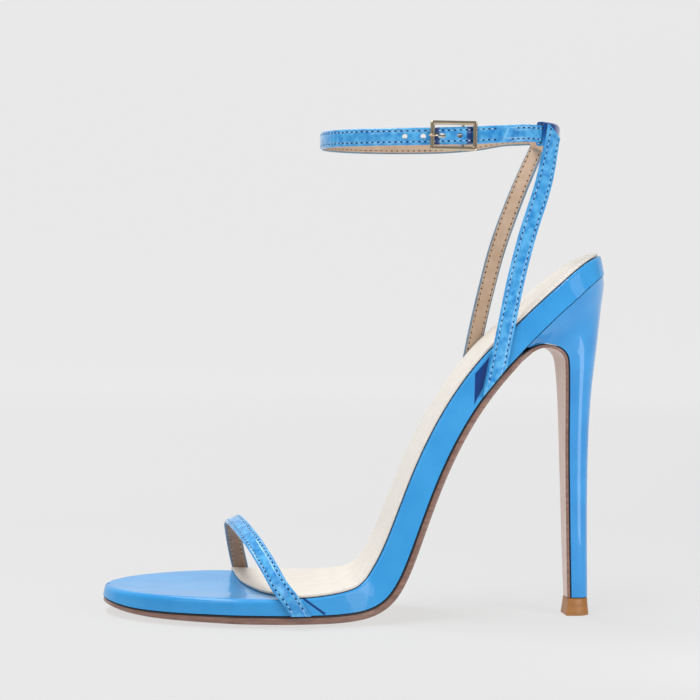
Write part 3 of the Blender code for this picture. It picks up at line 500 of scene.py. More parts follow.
# Painted shade: the toe strap's lining is a darker, browner copy of the tan kid lining.
TOE_LINING_PAINTED_SHADE = (0.400, 0.255, 0.180)
TOE_LINING_PAINTED_SHADE_DEEP = (0.310, 0.190, 0.130)
# The lining's half of each strap edge: a grey-blue edge colour, darkened as painted shade.
STRAP_EDGE_PAINTED_SHADE = (0.200, 0.290, 0.370)
STRAP_EDGE_PAINTED_SHADE_DEEP = (0.150, 0.225, 0.300)
STRAP_BLUE = (0.110, 0.470, 0.850)
STRAP_BLUE_DEEP = (0.026, 0.260, 0.640)
STRAP_PATCHES = 420
# Painted highlight colour for the ankle strap's slanted tip.
TIP_HIGHLIGHT_BLUE = (0.190, 0.520, 0.860)
THREAD_BLUE = (0.330, 0.660, 0.960)
HOLE_SHADE_NAVY = (0.004, 0.028, 0.110)
THREAD_TAN = (0.560, 0.440, 0.320)
HOLE_SHADE_BROWN = (0.110, 0.065, 0.040)


def kid_lining(name, light, deep):
    """Smooth lining leather with fine pores."""
    material = new_material(name, light, 0.52)
    material.node_tree.nodes["Principled BSDF"].inputs["Specular IOR Level"].default_value = 0.35
    tint(material, noise(material, 240, 5.0), ((0.3, deep), (0.7, light)))
    bump(material, ((cells(material, 2600), 0.35, 0.00007), (noise(material, 1500, 4.0), 0.25, 0.00009)))
    return material


def thread(name, colour):
    """Waxed thread with a twisted surface."""
    material = new_material(name, colour, 0.45)
    tint(material, noise(material, 3000, 2.0), ((0.3, tuple(0.75 * c for c in colour)), (0.7, colour)))
    bump(material, ((noise(material, 5000, 2.0), 0.4, 0.00004),))
    return material


def hole_shade_disc(name, colour):
    """Painted shade for a needle hole: a dark disc where the hole's inside lies in shadow."""
    material = new_material(name, colour, 0.8)
    tint(material, noise(material, 2500, 2.0), ((0.3, tuple(0.6 * c for c in colour)), (0.7, colour)))
    bump(material, ((noise(material, 4000, 2.0), 0.5, 0.00003),))
    return material


# Painted shadows on the ankle strap inside the buckle's frame, beside its bars, and a painted highlight on
# its slanted cut end, as (x, z) corners.
PAINTED_SHADOWS_IN_FRAME = (((0.0484, 0.1769), (0.0510, 0.1769), (0.0510, 0.1689), (0.0484, 0.1689)),
                 ((0.0603, 0.1770), (0.0626, 0.1770), (0.0626, 0.1691), (0.0603, 0.1691)))
SLANTED_TIP_HIGHLIGHT = ((0.0750, 0.1766), (0.0760, 0.1766), (0.0741, 0.1720), (0.0731, 0.1720))
PAINTED_SHADOW_SOFT, TIP_HIGHLIGHT_SOFT = 0.0006, 0.0004
strap_patent = patent_leather("patent_on_straps", 0.6, STRAP_BLUE, STRAP_BLUE_DEEP, STRAP_PATCHES)
for gap in PAINTED_SHADOWS_IN_FRAME:
    paint_shade_or_highlight(strap_patent, gap, SHADE_NAVY, PAINTED_SHADOW_SOFT)
# Painted highlight: a lighter blue along the strap's slanted cut end.
paint_shade_or_highlight(strap_patent, SLANTED_TIP_HIGHLIGHT, TIP_HIGHLIGHT_BLUE, TIP_HIGHLIGHT_SOFT)
strap_lining = kid_lining("tan_kid_lining", LINING_TAN, LINING_TAN_DEEP)
# Painted shade: the toe strap's lining uses the darker, browner copy of the tan kid.
toe_lining_painted_shade = kid_lining("toe_strap_kid_lining_in_painted_shade", TOE_LINING_PAINTED_SHADE, TOE_LINING_PAINTED_SHADE_DEEP)
strap_edge_painted_shade = kid_lining("strap_edge_grey_blue_in_painted_shade", STRAP_EDGE_PAINTED_SHADE, STRAP_EDGE_PAINTED_SHADE_DEEP)
blue_thread, tan_thread = thread("blue_thread", THREAD_BLUE), thread("tan_thread", THREAD_TAN)
# Painted shade: dark discs for the needle holes in the patent and in the lining.
navy_hole_shade, brown_hole_shade = hole_shade_disc("painted_shade_in_needle_hole_on_patent", HOLE_SHADE_NAVY), hole_shade_disc("painted_shade_in_needle_hole_on_lining", HOLE_SHADE_BROWN)


def spline(points, step):
    """Points evenly spaced on a smooth curve through the given points."""
    points = [np.asarray(p, float) for p in points]
    padded = [2 * points[0] - points[1]] + points + [2 * points[-1] - points[-2]]
    dense = []
    for p0, p1, p2, p3 in zip(padded, padded[1:], padded[2:], padded[3:]):
        for t in np.linspace(0, 1, 24, endpoint=False):
            dense.append(0.5 * (2 * p1 + (p2 - p0) * t + (2 * p0 - 5 * p1 + 4 * p2 - p3) * t ** 2
                                + (3 * p1 - p0 - 3 * p2 + p3) * t ** 3))
    dense = np.array(dense + [points[-1]])
    run = np.concatenate(([0.0], np.cumsum(np.linalg.norm(np.diff(dense[:, :3], axis=0), axis=1))))
    count = max(int(round(run[-1] / step)), 2)
    at = np.linspace(0, run[-1], count + 1)
    return np.stack([np.interp(at, run, dense[:, k]) for k in range(dense.shape[1])], axis=1)


def eased(rows, times):
    """Rows of numbers averaged with their neighbours, ends kept."""
    rows = np.array(rows)
    for _ in range(times):
        rows[1:-1] = 0.25 * rows[:-2] + 0.5 * rows[1:-1] + 0.25 * rows[2:]
    return rows


def tangents(points):
    """The way along a line at each of its points."""
    forward = np.vstack([points[1:], 2 * points[-1:] - points[-2:-1]])
    behind = np.vstack([2 * points[:1] - points[1:2], points[:-1]])
    return [unit(a - b) for a, b in zip(forward, behind)]


def strap_frames(points, normals):
    """At each point of a strap's middle line: the point, its way along, across and out."""
    frames = []
    for point, run, normal in zip(points, tangents(points), normals):
        face = unit(normal - np.dot(normal, run) * run)
        frames.append((point, run, np.cross(run, face), face))
    return frames


def strap_profile(width, thick):
    """A stitched strap's section as (across, out) points: face, edge, lining, edge."""
    w, t = width / 2, thick / 2
    edge = 0.8 * t

    def sunk(a):
        return STITCH_SINK * math.exp(-((abs(a) - (w - STITCH_INSET)) / STITCH_GROOVE) ** 2)

    def crown(a):
        return STRAP_CROWN * math.cos(a / w * math.pi / 2)

    face = [(a, t - sunk(a) + crown(a)) for a in np.linspace(-w + edge, w - edge, FACE_STEPS)]
    right = [(w - edge + edge * math.cos(r), t * math.sin(r)) for r in np.radians((60, 30, 0, -30, -60))]
    lining = [(a, -t + 0.5 * sunk(a)) for a in np.linspace(w - edge, -w + edge, LINING_STEPS)]
    left = [(-a, o) for a, o in reversed(right)]
    return face + right + lining + left


def strap_paint(k):
    """0 on the patent face and half of each edge, 1 on the lining, 2 on the lining's half of each edge,
    grey-blue: edge colour darkened as painted shade.
    """
    start = FACE_STEPS + EDGE_STEPS - 1
    if start < k < start + LINING_STEPS:
        return 1
    return 2 if start - 3 < k < start + LINING_STEPS + 3 else 0


def strap_rings(frames, width, thick):
    """A strap's section set out along its middle line."""
    profile = strap_profile(width, thick)
    return [[point + across * a + face * o for a, o in profile] for point, _, across, face in frames]


def cut_end(rings, run, point, normal, spread=6):
    """Trims a strap's first rings on a plane, and spaces their points evenly behind it."""
    plane = [p + run * (np.dot(point - p, normal) / np.dot(run, normal)) for p in rings[0]]
    for k in range(spread):
        share = k / spread
        rings[k] = [a * (1 - share) + b * share for a, b in zip(plane, rings[spread])]
    return rings


def stitch_tree():
    """Geometry nodes that sew along an edge path: a thread and a dark disc of painted shade for a needle hole
    at each pitch.
    """
    tree = bpy.data.node_groups.new("sewn_row", "GeometryNodeTree")
    tree.interface.new_socket("Geometry", in_out="OUTPUT", socket_type="NodeSocketGeometry")
    tree.interface.new_socket("Path", in_out="INPUT", socket_type="NodeSocketGeometry")
    for label, value in (("Pitch", STITCH_PITCH), ("Thread Length", 0.00115), ("Thread Width", 0.00052),
                         ("Thread Height", 0.00036), ("Hole Radius", 0.00036)):
        socket = tree.interface.new_socket(label, in_out="INPUT", socket_type="NodeSocketFloat")
        socket.default_value = value
    for label in ("Thread", "Hole"):
        tree.interface.new_socket(label, in_out="INPUT", socket_type="NodeSocketMaterial")

    def node(kind, **settings):
        made = tree.nodes.new(kind)
        for key, value in settings.items():
            setattr(made, key, value)
        return made

    def join(source, output, target, into):
        tree.links.new(source.outputs[output], target.inputs[into])

    given, result = node("NodeGroupInput"), node("NodeGroupOutput")
    path, spaced = node("GeometryNodeMeshToCurve"), node("GeometryNodeResampleCurve")
    spaced.mode = "LENGTH"
    join(given, "Path", path, "Mesh")
    join(path, "Curve", spaced, "Curve")
    join(given, "Pitch", spaced, "Length")
    tangent = node("GeometryNodeInputTangent")
    outward = node("GeometryNodeInputNamedAttribute", data_type="FLOAT_VECTOR")
    outward.inputs["Name"].default_value = "outward"
    along = node("FunctionNodeAlignRotationToVector", axis="X")
    flat = node("FunctionNodeAlignRotationToVector", axis="Z", pivot_axis="X")
    join(tangent, "Tangent", along, "Vector")
    join(along, "Rotation", flat, "Rotation")
    join(outward, "Attribute", flat, "Vector")
    ball = node("GeometryNodeMeshUVSphere")
    ball.inputs["Segments"].default_value = 6
    ball.inputs["Rings"].default_value = 5
    ball.inputs["Radius"].default_value = 0.5
    size = node("ShaderNodeCombineXYZ")
    for label, axis in (("Thread Length", "X"), ("Thread Width", "Y"), ("Thread Height", "Z")):
        join(given, label, size, axis)
    shaped = node("GeometryNodeTransform")
    turned = node("GeometryNodeTransform")
    turned.inputs["Rotation"].default_value = (0.0, math.radians(90), 0.0)
    join(ball, "Mesh", turned, "Geometry")
    join(turned, "Geometry", shaped, "Geometry")
    join(size, "Vector", shaped, "Scale")
    threads = node("GeometryNodeInstanceOnPoints")
    join(spaced, "Curve", threads, "Points")
    join(shaped, "Geometry", threads, "Instance")
    join(flat, "Rotation", threads, "Rotation")
    hole = node("GeometryNodeMeshCylinder")
    hole.inputs["Vertices"].default_value = 10
    hole.inputs["Depth"].default_value = 0.00006
    join(given, "Hole Radius", hole, "Radius")
    half = node("ShaderNodeMath", operation="MULTIPLY")
    half.inputs[1].default_value = 0.5
    join(given, "Pitch", half, 0)
    aside = node("ShaderNodeCombineXYZ")
    tree.links.new(half.outputs[0], aside.inputs["X"])
    moved = node("GeometryNodeTransform")
    join(hole, "Mesh", moved, "Geometry")
    tree.links.new(aside.outputs[0], moved.inputs["Translation"])
    holes = node("GeometryNodeInstanceOnPoints")
    join(spaced, "Curve", holes, "Points")
    join(moved, "Geometry", holes, "Instance")
    join(flat, "Rotation", holes, "Rotation")
    both = node("GeometryNodeJoinGeometry")
    for made, label in ((threads, "Thread"), (holes, "Hole")):
        real, painted = node("GeometryNodeRealizeInstances"), node("GeometryNodeSetMaterial")
        join(made, "Instances", real, "Geometry")
        join(real, "Geometry", painted, "Geometry")
        join(given, label, painted, "Material")
        join(painted, "Geometry", both, "Geometry")
    join(both, "Geometry", result, "Geometry")
    return tree


sewn_row = stitch_tree()


def sew(name, rows, thread_material, hole_material):
    """Stitches along rows of (point, outward) pairs, as one piece."""
    mesh = bpy.data.meshes.new(name + "_path")
    points = [tuple(point) for row in rows for point, _ in row]
    edges, start = [], 0
    for row in rows:
        edges += [(start + k, start + k + 1) for k in range(len(row) - 1)]
        start += len(row)
    mesh.from_pydata(points, edges, [])
    outward = mesh.attributes.new("outward", "FLOAT_VECTOR", "POINT")
    outward.data.foreach_set("vector", np.array([o for row in rows for _, o in row], np.float32).ravel())
    guide = bpy.data.objects.new(name + "_path", mesh)
    bpy.context.scene.collection.objects.link(guide)
    modifier = guide.modifiers.new("sewing", "NODES")
    modifier.node_group = sewn_row
    sockets = {item.name: item.identifier for item in sewn_row.interface.items_tree if item.in_out == "INPUT"}
    modifier[sockets["Thread"]] = thread_material
    modifier[sockets["Hole"]] = hole_material
    graph = bpy.context.evaluated_depsgraph_get()
    sewn = bpy.data.meshes.new_from_object(guide.evaluated_get(graph))
    bpy.data.objects.remove(guide)
    sewn.shade_smooth()
    piece = bpy.data.objects.new(name, sewn)
    bpy.context.scene.collection.objects.link(piece)
    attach(piece, "root")
    return piece


def stitch_rows(frames, width, thick, start, end, inside=False, trims=()):
    """Two rows, one by each edge, on a strap's face or on its lining, that stop short of trimmed ends."""
    rows = []
    kept = frames[start:len(frames) - end]
    for side in (-1, 1):
        row = []
        for point, _, across, face in kept:
            if inside:
                out = -(thick / 2 + LINING_THREAD_RISE - 0.5 * STITCH_SINK)
            else:
                out = thick / 2 + STRAP_CROWN - STITCH_SINK
            place_at = point + across * side * (width / 2 - STITCH_INSET) + face * out
            if all(np.dot(place_at - spot, way) > STITCH_END_GAP for spot, way in trims):
                row.append((place_at, -face if inside else face))
        rows.append(row)
    return rows


def wall(x, z, side):
    """Y of the insole's wall beside a point of its side view, its outward direction and its hollow."""
    tries = SOLE_XS[::3]
    off = [abs((x - s) * seat_normal(s)[2] - (z - seat_height(s)) * seat_normal(s)[0]) for s in tries]
    close = [o if math.hypot(x - s, z - seat_height(s)) < WALL_SEARCH else 1.0 for o, s in zip(off, tries)]
    station = float(tries[int(np.argmin(close))])
    step = ARM_WIDTH / 2

    def edge(s):
        return shift_at(s) + side * half_width(s)

    behind, here, forward = edge(station - step), edge(station), edge(station + step)
    slope = (forward - behind) / (2 * step)
    hollow = max(side * (behind + slope * step - here), side * (forward - slope * step - here), 0.0)
    return here, unit([-slope * side, side, 0.0]), hollow


def on_wall(x, z, side):
    """The middle of a strap that lies on the insole's wall, and its outward direction."""
    y, out, hollow = wall(x, z, side)
    return np.array([x, y, z]) + out * (CLEARANCE + hollow + STRAP_THICK / 2), out


def toe_strap_route():
    """The toe strap's middle line with its outward direction: up one wall, over the toes and down."""
    points, faces = [], []

    def add_wall(along, lift_share, side):
        x = place(along)
        lift = sole_point(x, side, insole_at(x) * lift_share)
        point, out = on_wall(lift[0], lift[2], side)
        points.append(point)
        faces.append(out)

    add_wall(TOE_ROOT_OUTER, 0.0, -1)
    add_wall((TOE_ROOT_OUTER + TOE_RIM_OUTER) / 2, 0.55, -1)
    add_wall(TOE_RIM_OUTER, 1.1, -1)
    reach = BALL_WIDTH / 2 + CLEARANCE + STRAP_THICK / 2
    for across, up, along in TOE_STRAP_LINE:
        x = place(along)
        z = seat_height(x) + insole_at(x) + up * TOE_STRAP_RISE
        points.append(np.array([x, shift_at(x) + across * reach, z]))
        up_face = math.sqrt(max(1 - across ** 2, 0.0))
        faces.append(unit([-TOE_STRAP_CONE * up_face, across, up_face]))
    add_wall(TOE_RIM_INNER, 1.1, 1)
    add_wall((TOE_ROOT_INNER + TOE_RIM_INNER) / 2, 0.55, 1)
    add_wall(TOE_ROOT_INNER, 0.0, 1)
    return eased(spline([np.concatenate((p, f)) for p, f in zip(points, faces)], 0.0011), 3)


line = toe_strap_route()
frames = strap_frames(line[:, :3], line[:, 3:])
rings = strap_rings(frames, TOE_STRAP_WIDTH, STRAP_THICK)
trims = []
for end, along, side in ((0, TOE_ROOT_OUTER, -1), (-1, TOE_ROOT_INNER, 1)):
    x = place(along)
    trims.append((sole_point(x, side, 0.0), seat_normal(x)))
    rings = cut_end(rings, frames[end][1], *trims[-1])[::-1]
toe_band = add_piece("toe_band", tube(rings, strap_paint), [strap_patent, toe_lining_painted_shade, strap_edge_painted_shade])
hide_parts("toe_strap")
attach(toe_band, "root")
stitches = stitch_rows(frames, TOE_STRAP_WIDTH, STRAP_THICK, 0, 0, trims=trims)
lining_stitches = stitch_rows(frames, TOE_STRAP_WIDTH, STRAP_THICK, TOE_LINING_SKIP, TOE_LINING_SKIP, True)
sew("toe_band_stitches", stitches, blue_thread, navy_hole_shade)
sew("toe_band_lining_stitches", lining_stitches, tan_thread, brown_hole_shade)


# Ankle strap. One long lined strap: folded round the buckle's centre bar, once round the ankle, then
# through the frame and over its own start, with four punched holes and a slanted tip.
ANKLE_STRAP_WIDTH = 0.0062
ANKLE_STRAP_THICK = 0.0014
ANKLE_ABOVE_SEAT = 0.0485
ANKLE_LENGTH = 0.0842
ANKLE_WIDTH = 0.0600
ANKLE_SQUARENESS = 2.35
BACK_SQUARENESS = 3.1
BACK_LEAN = math.radians(5)
ANKLE_PLACE = 0.6579
TIP_SLANT = 0.0036
TIP_REACH = 0.0208
CHAPE_LENGTH = 0.0085
OVERLAP_START = 0.055
OVERLAP_RISE = 0.035
HOLE_DIAMETER = 0.0019
HOLE_PITCH = 0.0063
BUCKLE_PLACE = 0.0026
BAR_OFFSET = 0.0038
PRONG_REACH = 0.0042
STRAP_BULGE = 0.0012
FRAME_LENGTH = 0.0163
FRAME_HEIGHT = 0.0105
FRAME_BAR = 0.0015
BAR_RADIUS = 0.0006
PRONG_RADIUS = 0.00045
FRAME_DEPTH = 0.0013
HOLE_STRETCH = 1.45
SLIT_SHIFT, SLIT_EXTRA = 0.0005, 0.0006
FOLD_SKIP, TIP_SKIP = 20, 6
INNER_SKIP, INNER_END_SKIP = 32, 40
ANKLE_STEP = 0.0012
ANKLE_WAVE = (
    # turn, lift
    (0.00, -0.36),
    (0.02, -0.22),
    (0.05, 0.14),
    (0.09, 0.40),
    (0.13, 0.38),
    (0.18, 0.08),
    (0.25, -0.15),
    (0.40, -0.28),
    (0.50, -0.30),
    (0.60, -0.32),
    (0.75, -0.20),
    (0.82, -0.03),
    (0.88, 0.12),
    (0.93, 0.10),
    (0.98, -0.26),
    (1.00, -0.36),
)


up = np.array([0.0, 0.0, 1.0])


def ankle_loop():
    """The ankle loop seen from above, from its back round the inner side, as points by length."""
    turns = np.linspace(0, 2 * math.pi, 1441)
    power = 2 / np.where(np.cos(turns) > 0, BACK_SQUARENESS, ANKLE_SQUARENESS)
    x = place(ANKLE_PLACE) + ANKLE_LENGTH / 2 * np.sign(np.cos(turns)) * np.abs(np.cos(turns)) ** power
    y = ANKLE_WIDTH / 2 * np.sign(np.sin(turns)) * np.abs(np.sin(turns)) ** power
    run = np.concatenate(([0.0], np.cumsum(np.hypot(np.diff(x), np.diff(y)))))
    return x, y, run


LOOP_X, LOOP_Y, LOOP_RUN = ankle_loop()
LOOP_LENGTH = LOOP_RUN[-1]
wave_turns = np.linspace(0, 1, 721)
wave_curve = curve([row[0] for row in ANKLE_WAVE], [row[1] * ANKLE_STRAP_WIDTH for row in ANKLE_WAVE])
wave_rows = np.array([wave_curve(t) for t in wave_turns])
for _ in range(40):
    wave_rows[:-1] = (np.roll(wave_rows[:-1], 1) + 2 * wave_rows[:-1] + np.roll(wave_rows[:-1], -1)) / 4
    wave_rows[-1] = wave_rows[0]


def loop_point(run, out=0.0):
    """A point beside the ankle loop, and the outward direction there."""
    turn = run % LOOP_LENGTH

    def at(r):
        r = r % LOOP_LENGTH
        return np.array([np.interp(r, LOOP_RUN, LOOP_X), np.interp(r, LOOP_RUN, LOOP_Y), 0.0])

    step = 0.0015
    way = unit(at(turn + step) - at(turn - step))
    outward = np.array([way[1], -way[0], 0.0])
    lift = float(np.interp(turn / LOOP_LENGTH, wave_turns, wave_rows))
    height = OUTSOLE_THICK + CLEARANCE + HEEL_RISE + ANKLE_ABOVE_SEAT + lift
    return at(turn) + outward * out + np.array([0.0, 0.0, height]), outward


def loop_up(run, outward):
    """The way across the strap at a place of the loop: upright, but leaning out at the back."""
    back = max(math.cos(2 * math.pi * run / LOOP_LENGTH), 0.0) ** 4
    return unit(up + outward * math.tan(BACK_LEAN) * back)


def outer_run(x):
    """How far round the loop the outer side reaches a given x."""
    outer = LOOP_Y < 0
    order = np.argsort(LOOP_X[outer])
    return float(np.interp(x, LOOP_X[outer][order], LOOP_RUN[outer][order]))


BUCKLE_RUN = outer_run(place(ANKLE_PLACE) + BUCKLE_PLACE)
BAR_RUN = BUCKLE_RUN + BAR_OFFSET
LAYER = ANKLE_STRAP_THICK + CLEARANCE
FOLD_RADIUS = BAR_RADIUS + CLEARANCE + ANKLE_STRAP_THICK / 2
FRAME_OUT = LAYER + ANKLE_STRAP_THICK / 2 + CLEARANCE + FRAME_DEPTH / 2
TIP_RUN = BUCKLE_RUN + TIP_REACH
ENGAGED_HOLE_RUN = BUCKLE_RUN - PRONG_REACH


def ankle_route():
    """The ankle strap as (length round the loop, out): its fold, the loop and the overlap."""
    route = []
    for share in np.linspace(0, 1, 9)[:-1]:
        out = -LAYER - (2 * FOLD_RADIUS - LAYER) * share ** 2
        route.append((BAR_RUN + CHAPE_LENGTH * (1 - share), out))
    for angle in range(0, 180, 15):
        a = math.radians(angle)
        route.append((BAR_RUN - FOLD_RADIUS * math.sin(a), -FOLD_RADIUS - FOLD_RADIUS * math.cos(a)))
    last = LOOP_LENGTH + TIP_RUN
    rise = LOOP_LENGTH + BUCKLE_RUN - OVERLAP_START
    for run in np.linspace(BAR_RUN, last, int(round((last - BAR_RUN) / ANKLE_STEP))):
        share = min(max((run - rise) / OVERLAP_RISE, 0.0), 1.0)
        inside = min(abs(run - LOOP_LENGTH - BUCKLE_RUN) / (FRAME_LENGTH / 2 - FRAME_BAR), 1.0)
        bulge = STRAP_BULGE * (1 - inside ** 4)
        route.append((run, LAYER * share * share * (3 - 2 * share) + bulge))
    return route


route = ankle_route()
spots = np.array([loop_point(run, out)[0] for run, out in route])
ways = tangents(spots * np.array([1.0, 1.0, 0.0]))
frames = []
for (run, _), spot, way in zip(route, spots, ways):
    across = loop_up(run, np.array([way[1], -way[0], 0.0]))
    frames.append((spot, way, -across, np.cross(way, across)))
rings = strap_rings(frames, ANKLE_STRAP_WIDTH, ANKLE_STRAP_THICK)
for back in range(5):
    share = 1 - back / 5
    way = ways[-1 - back]
    rings[-1 - back] = [p + way * TIP_SLANT * share * (p[2] - spots[-1 - back][2]) / ANKLE_STRAP_WIDTH
                        for p in rings[-1 - back]]
ankle_band = add_piece("ankle_band", tube(rings, strap_paint), [strap_patent, strap_lining, strap_edge_painted_shade])


def drill(name, middle, axis, across, radius, stretch, depth, sides=32):
    """A round cutter along an axis."""
    wide, high = across * radius * stretch, np.cross(axis, across) * radius
    turns = [2 * math.pi * k / sides for k in range(sides)]
    rings = []
    for end in (-0.5, 0.5):
        rings.append([middle + axis * depth * end + wide * math.cos(a) + high * math.sin(a) for a in turns])
    return add_piece(name, tube(rings), [])


def cut_away(piece, cutters):
    """Cuts a piece by its cutters, which are then removed."""
    for cutter in cutters:
        modifier = piece.modifiers.new("cut", "BOOLEAN")
        modifier.operation = "DIFFERENCE"
        modifier.solver = "EXACT"
        modifier.object = cutter
    graph = bpy.context.evaluated_depsgraph_get()
    mesh = bpy.data.meshes.new_from_object(piece.evaluated_get(graph))
    piece.modifiers.clear()
    piece.data = mesh
    for cutter in cutters:
        bpy.data.objects.remove(cutter)


cutters = []
for k in range(-2, 2):
    spot, outward = loop_point(ENGAGED_HOLE_RUN + k * HOLE_PITCH, LAYER + STRAP_BULGE / 2)
    cutters.append(drill(f"punch_{k + 3}", spot, outward, np.cross(up, outward), HOLE_DIAMETER / 2,
                         HOLE_STRETCH if k == 0 else 1.0, LAYER + CLEARANCE + STRAP_BULGE))
slit_spot, slit_out = loop_point(BAR_RUN - SLIT_SHIFT, -FOLD_RADIUS)
cutters.append(drill("slit", slit_spot, slit_out, np.cross(up, slit_out), PRONG_RADIUS + CLEARANCE,
                     (FOLD_RADIUS + SLIT_EXTRA) / (PRONG_RADIUS + CLEARANCE),
                     2 * FOLD_RADIUS + ANKLE_STRAP_THICK + CLEARANCE))
cut_away(ankle_band, cutters)
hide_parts("ankle_strap")
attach(ankle_band, "root")

stitches = stitch_rows(frames, ANKLE_STRAP_WIDTH, ANKLE_STRAP_THICK, FOLD_SKIP, TIP_SKIP)
lining_stitches = stitch_rows(frames, ANKLE_STRAP_WIDTH, ANKLE_STRAP_THICK, INNER_SKIP, INNER_END_SKIP, True)
sew("ankle_band_stitches", stitches, blue_thread, navy_hole_shade)
sew("ankle_band_lining_stitches", lining_stitches, tan_thread, brown_hole_shade)


# Back straps. Two lined arms, one from each side of the waist, that meet behind the ankle in a folded
# sleeve which carries the ankle strap.
SLEEVE_WALL = 0.0009
SLEEVE_HALF_LENGTH = 0.0212
ARM_SUNK = 0.0009
OUTER_ARM_SPREAD, INNER_ARM_SPREAD = 0.0216, 0.0184
ARM_TURN = 0.5
ARM_LAP = 0.0034
ARM_STAND = 0.0012
ARM_POINT = 0.75
ARM_LAP_BACK = 0.12
LEAF_PEAK_SHARE = 0.3
ARM_TIP_GAP = 0.0004
ARM_LINING_SKIP, ARM_LINING_END_SKIP = 12, 9
SLEEVE_CORNER, SLOT_CORNER = 0.0011, 0.0004
SLEEVE_INNER_FACE = -0.0008
SLEEVE_OUTER_REACH = 1.20 * SLEEVE_HALF_LENGTH
SLEEVE_INNER_REACH = 0.92 * SLEEVE_HALF_LENGTH
SLOT_REACH = 1.3 * SLEEVE_HALF_LENGTH
LEAF_PAINTED_SHADE = (0.004, 0.060, 0.270)
LEAF_PAINTED_SHADE_REACH = 0.012
OUTER_ARM = (
    # climb, bow, lean
    (0.09, 0.001, 0.00),
    (0.18, 0.004, 0.00),
    (0.28, 0.007, 0.00),
    (0.42, 0.010, 0.06),
    (0.60, 0.004, 0.26),
    (0.80, -0.014, 0.60),
)
INNER_ARM = (
    # climb, bow, lean
    (0.09, 0.003, 0.00),
    (0.18, 0.010, 0.00),
    (0.28, 0.018, 0.00),
    (0.42, 0.028, 0.24),
    (0.60, 0.034, 0.54),
    (0.80, 0.020, 0.82),
)
OUTER_ARM_ROOT, INNER_ARM_ROOT = 0.766, 0.725


def arm_route(rows, root, spread, side):
    """An arm's middle line: up the insole's wall, then in and back to the sleeve, and up over its face."""
    x = place(root)
    start, out = on_wall(x, seat_height(x), side)
    outer = ANKLE_STRAP_THICK / 2 + CLEARANCE + SLEEVE_WALL + STRAP_THICK / 2
    end, face = loop_point(side * spread, outer - ARM_SUNK)
    face = unit(face + np.array([0.0, side * ARM_TURN, 0.0]))
    points, faces = [start], [out]
    height = end[2] - start[2]
    for climb, bow, lean in rows:
        spot = start + (end - start) * climb
        spot[0] -= bow * height
        if lean == 0.0:
            start_wall, out = on_wall(spot[0], spot[2], side)
        spot[1] = start_wall[1] + (end[1] - start_wall[1]) * lean
        points.append(spot)
        faces.append(out * (1 - lean ** 2) + face * lean ** 2)
    end = end + face * ARM_STAND
    points += [end, end + up * ARM_LAP + np.array([ARM_LAP * ARM_LAP_BACK, 0.0, 0.0])]
    faces += [face, face]
    return eased(spline([np.concatenate((p, f)) for p, f in zip(points, faces)], 0.0010), 3)


stitches, lining_stitches = [], []
arms = []
for name, rows, root, spread, side in (("outer_arm", OUTER_ARM, OUTER_ARM_ROOT, OUTER_ARM_SPREAD, -1),
                                       ("inner_arm", INNER_ARM, INNER_ARM_ROOT, INNER_ARM_SPREAD, 1)):
    line = arm_route(rows, root, spread, side)
    frames = strap_frames(line[:, :3], line[:, 3:])
    rings = strap_rings(frames, ARM_WIDTH, STRAP_THICK)
    x = place(root)
    foot = (sole_point(x, side, 0.0), seat_normal(x))
    rings = cut_end(rings, frames[0][1], *foot)
    top, way, across, _ = frames[-1]
    rearward = across if across[0] > 0 else -across
    peak = unit(-way - rearward * ARM_POINT)
    if side < 0:
        leaf_peak = top + rearward * LEAF_PEAK_SHARE * ARM_WIDTH
    point_back = 0.5 * ARM_WIDTH * ARM_POINT
    rings = cut_end(rings[::-1], -way, top - way * point_back, peak)[::-1]
    arms.append(add_piece(name, tube(rings, strap_paint), [strap_patent, strap_lining, strap_edge_painted_shade]))
    ends = (foot, (top - way * (point_back + ARM_TIP_GAP), peak))
    stitches += stitch_rows(frames, ARM_WIDTH, STRAP_THICK, 0, 0, trims=ends)
    lining_stitches += stitch_rows(frames, ARM_WIDTH, STRAP_THICK, ARM_LINING_SKIP, ARM_LINING_END_SKIP, True)


def sleeve_profile(wall_thick, radius, steps=6):
    """A rounded rectangle of (across, out) points, a wall's thickness outside the ankle strap."""
    width, thick = ANKLE_STRAP_WIDTH + 2 * wall_thick, ANKLE_STRAP_THICK + 2 * wall_thick
    points = []
    for turn, (sx, sy) in enumerate(((1, 1), (-1, 1), (-1, -1), (1, -1))):
        for k in range(steps + 1):
            a = math.radians(90 * turn + 90 * k / steps)
            points.append((sx * (width / 2 - radius) + radius * math.cos(a),
                           sy * (thick / 2 - radius) + radius * math.sin(a)))
    return points


def away_from(material, spot, reach):
    """0 at a place, 1 from a given reach away."""
    away = add_node(material, "ShaderNodeVectorMath", operation="DISTANCE")
    coordinates = add_node(material, "ShaderNodeTexCoord")
    material.node_tree.links.new(coordinates.outputs["Object"], away.inputs[0])
    away.inputs[1].default_value = tuple(spot)
    share = add_node(material, "ShaderNodeMath", operation="DIVIDE", use_clamp=True)
    material.node_tree.links.new(away.outputs["Value"], share.inputs[0])
    share.inputs[1].default_value = reach
    return share.outputs[0]


def sleeve_rings(profile, outer_reach, inner_reach, count=64):
    """A section set out along the back of the ankle loop."""
    rings = []
    for run in np.linspace(-outer_reach, inner_reach, count):
        spot, outward = loop_point(run)
        across = loop_up(run, outward)
        face = np.cross(np.cross(across, outward), across)
        rings.append([spot + face * o - across * a for a, o in profile])
    return rings


outer_wall = CLEARANCE + SLEEVE_WALL
profile = sleeve_profile(outer_wall, SLEEVE_CORNER)
slot_profile = sleeve_profile(CLEARANCE, SLOT_CORNER)


def sleeve_paint(k):
    """0 on the patent outside, 1 on the side that faces the ankle."""
    return 1 if (profile[k][1] + profile[(k + 1) % len(profile)][1]) / 2 < SLEEVE_INNER_FACE else 0


